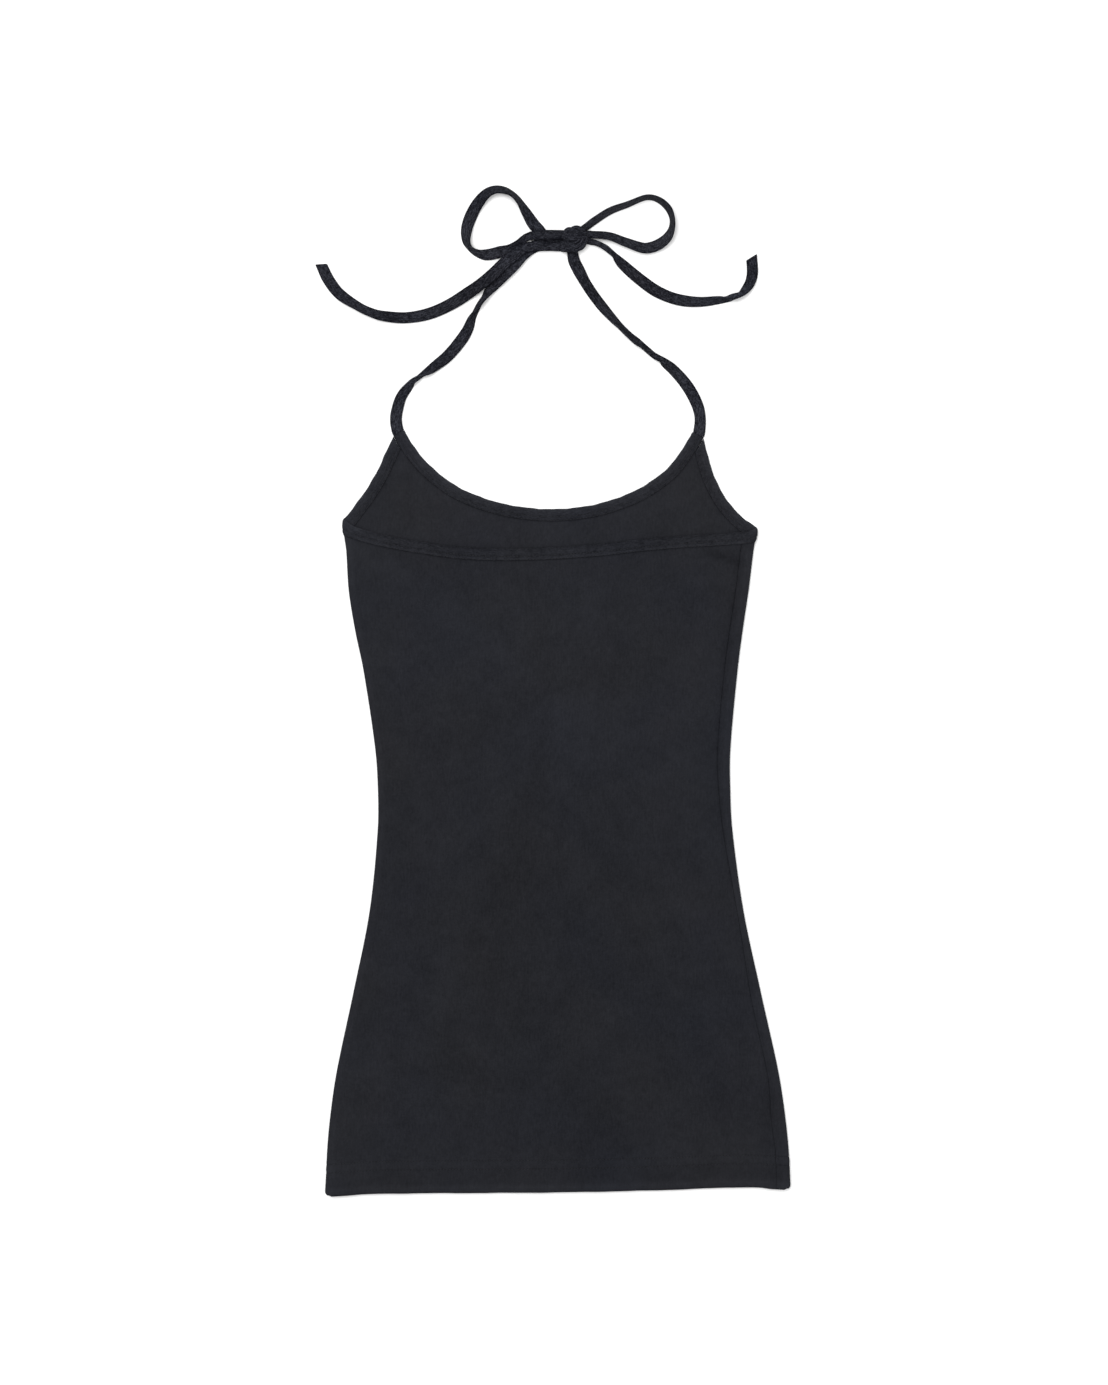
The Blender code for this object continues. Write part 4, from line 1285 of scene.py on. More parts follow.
@dataclass
class JerseyPanel:
    """One panel of the body, a wall of cloth with its turned hem and seam edges."""

    body: LaidBody
    hem_rows: tuple[float, ...] = (
        0.0, 0.18, 0.6, 1.3, 2.6, 5.0, 9.0, 13.5, 17.5, 19.6, 20.3, 20.7, 21.0, 21.3, 21.7, 22.5, 24.2,
        26.2, 27.5, 28.0, 28.35, 28.6, 28.85, 29.3, 30.2, 31.4, 32.8, 34.6, 37.5, 41.5, 46.5, 52.0)
    top_rows: tuple[float, ...] = (18.5, 14.5, 11.5, 9.2, 7.6, 6.4, 5.5, 4.8, 4.2, 3.4, 1.7, 0.0)
    seam_shares: tuple[float, ...] = (0.0, 0.35, 0.75, 1.3, 2.1, 3.3, 4.9, 7.0)
    body_rows: int = 148
    column_step: float = 2.7
    column_room: float = 0.8
    rounds: int = 40
    needle_rows: tuple[float, ...] = (21.0, 28.6)
    needle_depth: float = 0.24
    needle_width: float = 0.32
    sewn_reach: Pair = (0.2, 5.5)
    tucked_reach: Pair = (-0.6, 2.2)
    tucked_cloth: float = 0.62
    hem_round: float = 0.85
    hem_hold: Pair = (0.35, 20.0)
    hem_bulges: Table = ((24.8, 2.4, 0.2), (4.0, 2.8, 0.22))
    hem_rise: Pair = (0.2, 8.0)
    hem_waver: Table = ((0.12, 9.3, 0.0), (0.05, 3.9, 1.0))
    # Shifts at the hem's corners: size, distance from the side fold, and reach along and up
    corner_rise: tuple[float, ...] = (1.3, -0.2, 1.8, 3.0)
    corner_inset: tuple[float, ...] = (1.1, 0.0, 1.8, 1.9)
    right_sag: Triple = (0.9, 181.0, 11.0)
    left_swell: Triple = (0.5, 150.0, 30.0)
    tuck_height: float = 0.075
    tuck_pitch: float = 5.6
    tuck_reach: float = 2.3
    tuck_slant: float = 0.35
    pucker: float = 0.05
    seam_ditch: Table = ((0.0, 0.8, 0.2), (0.0, 2.8, 0.2))
    seam_closed: float = 0.28
    seam_opening: Triple = (0.72, -170.0, 130.0)
    seam_waver: Table = ((0.12, 31.0, 0.0),)
    resting: float = 0.2
    hem_wear: Table = ((4.4, 2.6, 0.9), (24.8, 3.0, 0.2))
    seam_shade: Table = ((0.0, 0.9, 0.2), (0.0, 3.0, 0.4))
    # Painted highlight along the side folds
    side_fold_highlight: Table = ((3.0, 1.3, 0.45), (0.0, 2.2, 0.5))
    top_shade: Table = ((0.2, 0.75, 0.7),)
    needle_shade: float = 0.9
    hump_wear: float = 0.3
    # Painted highlight where creases raise the cloth
    lift_highlight: float = 0.15
    underarm_wear: Triple = (0.2, 122.0, 14.0)
    underarm_from: float = 190.0
    middle_shade: Pair = (0.45, 150.0)
    middle: Pair = (10.0, -285.0)
    middle_squash: float = 0.75

    def settle(self, line: Array, girth_of: Callable[[Array, Array], Array], shares: Array) -> Array:
        """Heights at which columns of changing girth meet a line of girth and height.

        Args:
            line: the line.
            girth_of: the girth of a share at a height.
            shares: the shares, one a column.

        Returns:
            The heights.
        """
        y = np.full(len(shares), line[len(line) // 2, 1])
        for _ in range(self.rounds):
            y = 0.5 * (y + np.interp(girth_of(shares, y), line[:, 0], line[:, 1]))
        return y

    def rows(self, hem: Array, top: Array) -> Array:
        """Heights up each column: the hem's rows, even rows, and close rows at the seam.

        Args:
            hem, top: the lowest and the highest of each column.

        Returns:
            The heights, column by column.
        """
        low = hem[:, None] + np.array(self.hem_rows)
        high = top[:, None] - np.array(self.top_rows)
        between = np.linspace(0.0, 1.0, self.body_rows + 2)[1:-1]
        middle = low[:, -1:] + (high[:, :1] - low[:, -1:]) * between
        return np.concatenate((low, middle, high), axis=1)

    def spots(self, blocks: Sequence[Block], edges: Sequence[Array], seam_gap: Array) -> Spots:
        """Place every vertex, with its distances from what shapes the cloth.

        Args:
            blocks: the columns.
            edges: the bindings' free edges.
            seam_gap: each column's distance from a side seam.

        Returns:
            The places and distances.
        """
        girths, heights = [], []
        for block in blocks:
            lowest = np.full(len(block.shares), HEM_LINE[0][1])
            hem = self.body.hem.at(self.body.flat_x(block.girth_of(block.shares, lowest), lowest))
            heights.append(self.rows(hem, block.tops))
            girths.append(block.girth_of(block.shares[:, None], heights[-1]))
        girth, y = np.concatenate(girths), np.concatenate(heights)
        x = self.body.flat_x(girth, y)
        places = np.stack((girth, y), axis=-1)
        below = np.min([distance_to(places, edge) for edge in edges], axis=0) - BINDING_WIDTH
        side = np.min([np.abs(x - self.body.fold_x(side, y)) for side in Side], axis=0)
        return Spots(girth, y, x, y - self.body.hem.at(x), below, side, seam_gap[:, None])

    def held(self, up: Number) -> Number:
        """Share of the creases' rise that the stiff hem leaves."""
        share, reach = self.hem_hold
        return 1.0 - share * bell(up, reach)

    def thickness(self, at: Spots, wall: Array) -> Array:
        """Thickness of the cloth, less inside the bindings and rounded off at hem and seam.

        Args:
            at: the places.
            wall: the full thickness there.

        Returns:
            The thickness at each of them.
        """
        tucked = 1.0 - ease(at.below, *self.tucked_reach)
        short = 1.0 - np.minimum(at.up, self.hem_round) / self.hem_round
        rounded = np.sqrt(np.clip(1.0 - short ** 2, 0.03, 1.0))
        beside = ease(at.seam, -0.35, 0.9)
        return (wall + (self.tucked_cloth - wall) * tucked) * rounded * (0.75 + 0.25 * beside)

    def seam_open(self, at: Spots) -> Array:
        """How open the side seam lies: fully above the waist, and less below it."""
        return self.seam_closed + graded(at.y, self.seam_opening) + waves_at(at.y, self.seam_waver)

    def needles(self, at: Spots, width: float) -> Array:
        """1 on the hem's needle rows, and less away from them."""
        return sum(bell(at.up - row, width) for row in self.needle_rows)

    def relief(self, at: Spots, sewn: Array, hump: Array) -> Array:
        """How far the outer face stands out: bulges, tucks, puckers, needle rows and seam ditch.

        Args:
            at: the places.
            sewn: 1 under a binding and 0 away from it.
            hump: how far a seam below lifts the cloth.

        Returns:
            The relief at each of them.
        """
        tucks = np.sin(TURN * (at.girth + self.tuck_slant * at.up) / self.tuck_pitch)
        return (lines_at(at.up, self.hem_bulges)
                + self.tuck_height * self.needles(at, self.tuck_reach) * tucks
                + self.pucker * sewn * np.sin(TURN * at.girth / STITCH_PITCH)
                - self.needle_depth * self.needles(at, self.needle_width)
                - lines_at(at.seam, self.seam_ditch) * self.seam_open(at) + hump)

    def hem_shift(self, at: Spots) -> Array:
        """How the hem's edge wavers, rounds off at its corners, sags at the right and widens.

        Args:
            at: the places.

        Returns:
            The shifts in x, y and z.
        """
        rise, reach = self.hem_rise
        waver = (rise + waves_at(at.girth, self.hem_waver)) * bell(at.up, reach)
        corner, inset = (size * bell(at.side - gap, along) * bell(at.up, up)
                         for size, gap, along, up in (self.corner_rise, self.corner_inset))
        sag = graded(at.x, self.right_sag) * bell(at.up, 11.0)
        wider = graded(-at.x, self.left_swell) * bell(at.up - 8.0, 9.0)
        return np.stack((-inset * np.sign(at.x) - wider, waver + corner - sag, np.zeros_like(sag)),
                        axis=-1)

    def tone(self, at: Spots, lift: Array, hump: Array) -> Array:
        """Tone of the cloth: paler where it wears, painted highlight on the side folds and raised creases,
        and painted shade in its furrows, across the middle and along a pressed fold.

        Args:
            at: the places.
            lift: rise of the creases there.
            hump: how far a seam below lifts the cloth.

        Returns:
            The tone at each of them.
        """
        x, y = self.middle
        from_middle = np.hypot(at.x - x, self.middle_squash * (at.y - y))
        shade, reach = self.middle_shade
        underarm = graded(at.y, self.underarm_wear) * (at.girth > self.underarm_from)
        # Painted highlight on the side folds and crease ridges; painted shade in the needle rows, the
        # seam's ditch, below the bindings, across the middle and along the pressed fold
        return (lines_at(at.up, self.hem_wear) - self.needle_shade * self.needles(at, self.needle_width)
                - lines_at(at.seam, self.seam_shade) * self.seam_open(at) + self.hump_wear * hump
                + self.lift_highlight * np.clip(lift, 0.0, 1.0) - lines_at(at.below, self.top_shade)
                + lines_at(at.side, self.side_fold_highlight) + underarm
                - shade * bell(from_middle, reach) - PAINTED_FOLD_SHADOW.rise(at.girth, at.y))

    def form(self, blocks: Sequence[Block], edges: Sequence[Array], seam_gap: Array,
             raised: float) -> Form:
        """The panel's wall.

        Args:
            blocks: its columns.
            edges: the bindings' free edges near it, as girth and height.
            seam_gap: each column's distance from the nearer of the panel's side seams.
            raised: how far the seam's turned edges inside lift the cloth beside it.

        Returns:
            The panel's form.
        """
        at = self.spots(blocks, edges, seam_gap)
        wall = self.body.wall(at.x, at.y)
        sewn = 1.0 - ease(at.below, *self.sewn_reach)
        bed = wall + (STRIP_DEPTH - wall) * sewn
        cloth = self.thickness(at, wall)
        hump = raised * ease(at.seam, 0.0, 1.2) * (1.0 - ease(at.seam, 5.5, 2.5))
        relief = self.relief(at, sewn, hump)
        # Where the cloth rests on the surface it can only be pressed in
        level = self.body.place(at.girth, at.y, bed, 0.0)[..., 2]
        relief = np.where(level < 0.5 * STRIP_DEPTH + self.resting, np.minimum(relief, 0.0), relief)
        lift = self.body.lift(at.girth, at.y) * self.held(at.up) * (1.0 - sewn)
        outer, inner = (self.body.place(at.girth, at.y, bed, out, lift) + self.hem_shift(at)
                        for out in (0.5 * cloth + relief, -0.5 * cloth))
        return self._skin(outer, inner, np.stack((at.girth, at.y), axis=-1), self.tone(at, lift, hump))

    def _skin(self, outer: Array, inner: Array, lie: Array, tone: Array) -> Form:
        """Join the two faces of the wall by a rim.

        Args:
            outer, inner: the faces' points, column by column.
            lie: their cloth coordinates.
            tone: their tone.

        Returns:
            The wall's form.
        """
        count, rows = outer.shape[:2]
        total = count * rows
        faces = grid_faces(0, count, rows) + grid_faces(total, count, rows)
        rim = [(i * rows + j, (i + 1) * rows + j) for i in range(count - 1) for j in (0, rows - 1)]
        rim += [(i * rows + j, i * rows + j + 1) for j in range(rows - 1) for i in (0, count - 1)]
        faces += [(low, high, high + total, low + total) for low, high in rim]
        verts = np.concatenate((outer.reshape(-1, 3), inner.reshape(-1, 3)))
        return Form(verts, faces, np.tile(lie.reshape(-1, 2), (2, 1)), np.tile(tone.reshape(-1), 2))


@dataclass
class Bodice:
    """The two panels, their hem stitches and the side seams between them."""

    body: LaidBody
    armholes: FoldedBinding
    neck: FoldedBinding
    left_turn: float = 5.0
    seam_close: float = 0.06
    fold_steps: int = 12
    tucked: float = 4.0
    line_step: float = 2.0
    even_width: float = 330.0
    far_gap: float = 9.0
    stitch_sink: float = 0.22
    turn_shares: tuple[float, ...] = (0.0, 0.04, 0.09, 0.16, 0.26, 0.42, 0.64, 0.84)
    panel: JerseyPanel = field(init=False)

    def __post_init__(self) -> None:
        """Read the bindings' lines."""
        self.panel = JerseyPanel(self.body)
        self.edge, self.line = self.lines(self.armholes)
        self.neck_edge, self.neck_line = self.lines(self.neck)

    def lines(self, binding: FoldedBinding) -> tuple[Array, Array]:
        """A binding's free edge, and the line inside it that the panels reach."""
        places = np.arange(0.0, binding.route.length, self.line_step)
        return binding.route.point(places), binding.seam(places, -self.tucked)

    def blocks(self, families: Sequence[tuple[Array, Callable[[Array, Array], Array]]]) -> list[Block]:
        """Columns whose tops meet the armholes' and back's binding."""
        return [Block(shares, rule, self.panel.settle(self.line, rule, shares))
                for shares, rule in families]

    def back_blocks(self) -> tuple[list[Block], Array]:
        """Columns of the back panel, from its turned left edge to the right seam.

        Returns:
            The columns, and each one's distance from the nearer side seam.
        """
        body, panel = self.body, self.panel
        inset = -panel.seam_shares[-1] - panel.column_step

        def turned(share: Array, y: Array) -> Array:
            """Girth on the under layer, by the distance from the left fold."""
            return body.under_girth(Side.LEFT, body.fold_x(Side.LEFT, y) + share, y)

        def across(share: Array, y: Array) -> Array:
            """Girth on the upper layer, by the share of it, or below 0 by the place before the seam.

            Args:
                share: the share, or the place.
                y: the heights.

            Returns:
                The girths.
            """
            left = body.fold_x(Side.LEFT, y)
            right = body.fold_x(Side.RIGHT, y) - body.turn.at(y) - self.seam_close
            return np.where(share < 0.0, right + share, left + share * (right + inset - left))

        near = np.array([share for share in panel.seam_shares
                         if share < self.left_turn - panel.column_room])
        around = np.linspace(1.0, 0.0, self.fold_steps, endpoint=False)
        even = np.linspace(0.0, 1.0, round(self.even_width / panel.column_step))
        close = -np.array(panel.seam_shares)[::-1]
        # The last column lies at the seam itself, and still counts from there
        close[-1] = -1e-6
        blocks = self.blocks([(self.left_turn - self.seam_close - near, turned),
                              (around, partial(body.round_fold, Side.LEFT)),
                              (even, across), (close, across)])
        gaps = np.concatenate((near, np.full(len(around), self.far_gap),
                               self.even_width * (1.0 - even) + self.far_gap, -close))
        return blocks, gaps

    def under_tops(self) -> tuple[Callable[[Array], Array], dict[Side, float]]:
        """Top line of the front panel on the under layer, and the x of its two strap points.

        Returns:
            The line as a function of x, and the x by side.
        """
        lines, peaks = {}, {}
        order = np.argsort(self.neck_line[:, 0])
        neck = tuple(self.neck_line[order].T)
        for side in Side:
            girth, y = self.line.T
            passed = side.value * (girth - self.body.round_fold(side, 1.0, y))
            kept = (side.value * girth > 0) & (passed > 0)
            x = self.body.under_x(side, girth[kept], y[kept])
            order = np.argsort(x)
            lines[side] = (x[order], y[kept][order])
            # The strap point is where the armhole's line and the neck's cross
            near, far = float(np.median(x)), 0.0
            for _ in range(self.panel.rounds):
                middle = 0.5 * (near + far)
                if np.interp(middle, *lines[side]) < np.interp(middle, *neck):
                    near = middle
                else:
                    far = middle
            peaks[side] = near

        def top(x: Array) -> Array:
            """Height of the panel's top at each x."""
            return np.min([np.interp(x, *line) for line in (*lines.values(), neck)], axis=0)

        return top, peaks

    def front_blocks(self) -> tuple[list[Block], Array]:
        """Columns of the front panel, from its turned right edge across to the left seam.

        Returns:
            The columns, and each one's distance from the nearer side seam.
        """
        body, panel = self.body, self.panel

        def turned(share: Array, y: Array) -> Array:
            """Girth on the upper layer, by the share of the turned edge."""
            edge = body.fold_x(Side.RIGHT, y) - body.turn.at(y) + self.seam_close
            return edge + share * (body.turn.at(y) - self.seam_close)

        def seam_x(y: Number) -> Number:
            """The x of the left seam."""
            return body.fold_x(Side.LEFT, y) + self.left_turn + self.seam_close

        def across(share: Array, y: Array) -> Array:
            """Girth on the under layer, by the share of it from the left seam."""
            left = seam_x(y)
            return body.under_girth(Side.RIGHT, left + share * (body.fold_x(Side.RIGHT, y) - left), y)

        shares, around = np.array(self.turn_shares), np.linspace(0.0, 1.0, self.fold_steps)
        folded = partial(body.round_fold, Side.RIGHT)
        corner = panel.settle(self.line, folded, np.array((1.0,)))[0]
        top, peaks = self.under_tops()
        left_limit, right_limit = float(seam_x(corner)), float(body.fold_x(Side.RIGHT, corner))
        marks = [left_limit, peaks[Side.LEFT], peaks[Side.RIGHT], right_limit]
        x_tops: list[float] = []
        for low, high in zip(marks, marks[1:]):
            step = panel.column_step * (0.7 if high - low < 90 else 1.0)
            x_tops += list(np.linspace(low, high, max(1, round((high - low) / step)), endpoint=False)[1:])
            x_tops.append(high)
        first = left_limit + panel.seam_shares[-1] + panel.column_room
        x_tops = [value for value in x_tops[:-1] if value > first]
        x_tops += [left_limit + share for share in panel.seam_shares]
        x_top = np.array(sorted({round(value, 4) for value in x_tops}, reverse=True))
        y_top = top(x_top)
        left = seam_x(y_top)
        spread = (x_top - left) / (body.fold_x(Side.RIGHT, y_top) - left)
        blocks = self.blocks([(shares, turned), (around, folded)]) + [Block(spread, across, y_top)]
        gaps = np.concatenate((shares * self.far_gap, np.full(len(around), self.far_gap),
                               x_top - left_limit))
        return blocks, gaps

    def front_edges(self) -> list[Array]:
        """Free edges of the bindings in girth counted from the right, for the front panel.

        Returns:
            The edges, as girth and height.
        """
        girth, y = self.edge.T
        under = girth < self.body.round_fold(Side.LEFT, 1.0, y)
        x = self.body.under_x(Side.LEFT, girth[under], y[under])
        left, neck = (np.stack((self.body.under_girth(Side.RIGHT, *line), line[1]), axis=-1)
                      for line in ((x, y[under]), self.neck_edge.T))
        return [self.edge[girth > 0.0], left, neck]

    def hem_stitches(self, stitching: Stitching, upper: bool) -> Form:
        """Two rows of stitches round one half of the hem.

        Args:
            stitching: how they are sewn.
            upper: which half, the upper or the under one.

        Returns:
            Their form.
        """
        body = self.body
        left, right = (float(body.fold_x(side, HEM_LINE[0][1])) for side in Side)

        def at(place: Array, row: float, out: float) -> Array:
            """Places of a run in its furrow.

            Args:
                place, row, out: places along, across and out.

            Returns:
                The points.
            """
            x = left + place
            y = body.hem.at(x) + row
            girth = x if upper else body.under_girth(Side.RIGHT, x, y)
            wall = body.wall(x, y)
            lift = body.lift(girth, y) * self.panel.held(row)
            return body.place(girth, y, wall, out * (0.5 * wall - self.stitch_sink), lift)

        return stitching.runs(at, self.panel.needle_rows, right - left, faces=(1.0,), margin=4.0)


@dataclass
class SelfTie:
    """A folded strip that lies on the surface, turning over where it twists."""

    name: str
    table: Table
    start_reach: float = 0.0
    end_reach: float = 0.0
    closed_end: bool = False
    slant: float = 0.0
    dents: tuple[Crease, ...] = ()
    paleness: float = 0.0
    width: float = 10.5
    even_flat: float = 4.3
    step: float = 1.5
    slant_reach: float = 7.0
    end_round: float = 1.1
    end_places: tuple[float, ...] = (1.2, 0.9, 0.6, 0.35, 0.15)
    gathered: float = 1.45
    gathered_depth: float = 3.2
    curl_gain: float = 1.27
    needle_row: float = 0.6
    slot: float = 0.1
    pucker: float = 0.05
    waver: Table = ((0.012, 5.3, 1.0),)
    patches: Table = ((0.35, 17.0, 0.6), (0.25, 7.3, 0.0))
    dent_shade: float = 3.0
    # Painted highlight along the middle of what shows, painted shade at its sides and on its needle row
    middle_highlight: Pair = (0.4, 0.55)
    side_shade: Triple = (1.1, 0.7, 0.3)
    needle_shade: Pair = (0.6, 0.5)
    route: Route = field(init=False)
    section: StripSection = field(init=False)
    settle: Track = field(init=False)

    def __post_init__(self) -> None:
        """Lay the route and the section's sizes along it."""
        x, y, *sizes = tie_columns(self.table)
        self.route = Route(list(zip(x, y)))
        self.widths, self.rolls, self.depths, self.lifts = (
            Track(self.route.places, column, steady=True) for column in sizes)
        self.section = StripSection((self.needle_row,), self.slot)

    @property
    def length(self) -> float:
        """Length of the strip with what runs into its neighbours."""
        return self.route.length + self.start_reach + self.end_reach

    def at(self, place: Array, across: Array, out: Array) -> Array:
        """Points of the strip as its table says.

        Args:
            place: distance along the route.
            across: place in the section, from the fold to the lips.
            out: 1 on the face that starts on top, and -1 on the other.

        Returns:
            The points, with x, y and z last.
        """
        place, across, out = np.broadcast_arrays(place, across, out)
        depth, roll = self.depths.at(place), np.radians(self.rolls.at(place))
        width = self.widths.at(place) * (1.0 + waves_at(place, self.waver))
        # Depth beyond that of the cloth is the curl across a gathered strip
        share = ease(depth, STRIP_DEPTH, self.gathered_depth - STRIP_DEPTH)
        half = 0.5 * np.minimum(depth, STRIP_DEPTH + (self.gathered - STRIP_DEPTH) * share)
        curl = self.curl_gain * np.maximum(0.0, depth - 2.0 * half)
        half_flat = 0.5 * width - half
        if self.closed_end:
            last = np.clip((self.length - self.start_reach - place) / self.end_round, 0.0, 1.0)
            half = half * np.sqrt(np.maximum(0.04, 1.0 - (1.0 - last) ** 2))
        along = np.clip(across, -1.0, 1.0)
        slope = -2.0 * curl * along / half_flat
        scale = 1.0 / np.sqrt(1.0 + slope ** 2)
        thick = out * self.section.half_depth(across, half_flat, half)
        thick = thick * (1.0 + self.pucker * self.section.pucker(place, across, half_flat))
        side = self.section.shift(across, half_flat, half) - slope * scale * thick
        up = curl * (0.5 - along ** 2) + scale * thick
        turned = side * np.cos(roll) - up * np.sin(roll)
        height = side * np.sin(roll) + up * np.cos(roll)
        reach = np.abs(np.sin(roll)) * (half_flat + half) + np.abs(np.cos(roll)) * half
        bow = 0.5 * curl * np.abs(np.cos(roll))
        level = self.lifts.at(place) + np.maximum(reach, half + bow)
        slanted = self.slant * turned * ease(place, self.route.length - self.slant_reach, self.slant_reach)
        spot = (self.route.point(place) + turned[..., None] * self.route.beside(place)
                + slanted[..., None] * self.route.heading(place))
        return np.concatenate((spot, (level + height)[..., None]), axis=-1)

    def settled(self, place: Array, across: Array, out: Array) -> Array:
        """Points of the strip, set down on what it lies on.

        Args:
            place, across, out: places along, across and out.

        Returns:
            The points.
        """
        points = self.at(place, across, out)
        points[..., 2] += self.settle.at(place)
        return points

    def stations(self) -> Array:
        """Places of the sections, with close ones at a closed end.

        Returns:
            The places.
        """
        first, last = -self.start_reach, self.route.length + self.end_reach
        places = np.linspace(first, last, max(3, round(self.length / self.step)))
        if self.closed_end:
            room, *close = self.end_places
            kept = places[places < last - room]
            places = np.unique(np.concatenate((kept, last - np.array(close), [last])))
        return places

    def worn_and_shaded(self, places: Array, across: Array, rings: Array) -> Array:
        """Tone of the faces: a painted highlight along the middle of what shows, and painted shade at its
        sides and along its needle row.

        Args:
            places: the rings, along the strip.
            across: the points, across it.
            rings: the points themselves.

        Returns:
            The tone of each point.
        """
        steps = rings[..., :2] - self.route.point(places)[:, None]
        off = np.sum(steps * self.route.beside(places)[:, None], axis=-1)
        low, high = off.min(axis=1, keepdims=True), off.max(axis=1, keepdims=True)
        aside = np.abs(2.0 * (off - low) / (high - low) - 1.0)
        (wear_and_shading, reach), (shade, width) = self.middle_highlight, self.needle_shade
        pale = self.paleness * (1.0 - smooth(3.0 * places / self.route.length - 1.0))
        return (wear_and_shading * bell(aside, reach) - graded(aside, self.side_shade)
                - shade * self.section.near_rows(across, self.even_flat, width)
                + (waves_at(places, self.patches) + pale)[:, None])

    def form(self) -> Form:
        """The strip's skin, set down on what it lies on.

        Returns:
            The form.
        """
        across, out = self.section.outline(self.even_flat)
        places = self.stations()
        rings = self.at(places[:, None], across, out)
        lowest = rings[..., 2].min(axis=1)
        self.settle = Track(places, self.lifts.at(places) - lowest, steady=True)
        rings[..., 2] += self.settle.at(places)[:, None]
        # Dents raise or sink the upper face, and the tone follows them: painted shade in the hollows,
        # painted highlight on the raised edges
        dent = sum((crease.rise(rings[..., 0], rings[..., 1]) for crease in self.dents), np.zeros(1))
        rings[..., 2] += dent * (out > 0.9)
        gone = 0.5 * self.width + self.section.shift(across, self.even_flat, 0.5 * STRIP_DEPTH)
        worn_and_shaded = self.worn_and_shaded(places, across, rings) + self.dent_shade * dent
        return strip_form(rings, places, gone, out, worn_and_shaded)

    def threads(self, stitching: Stitching) -> Form:
        """The stitches along the strip's open edge, on both faces."""
        return stitching.runs(self.settled, self.section.rows, self.route.length)


@dataclass(frozen=True)
class Strand:
    """One turn of gathered cloth over the knot: local x and y, rise, width and depth along it."""

    table: Table
    tone: float = 0.0
    pleat: float = 0.0


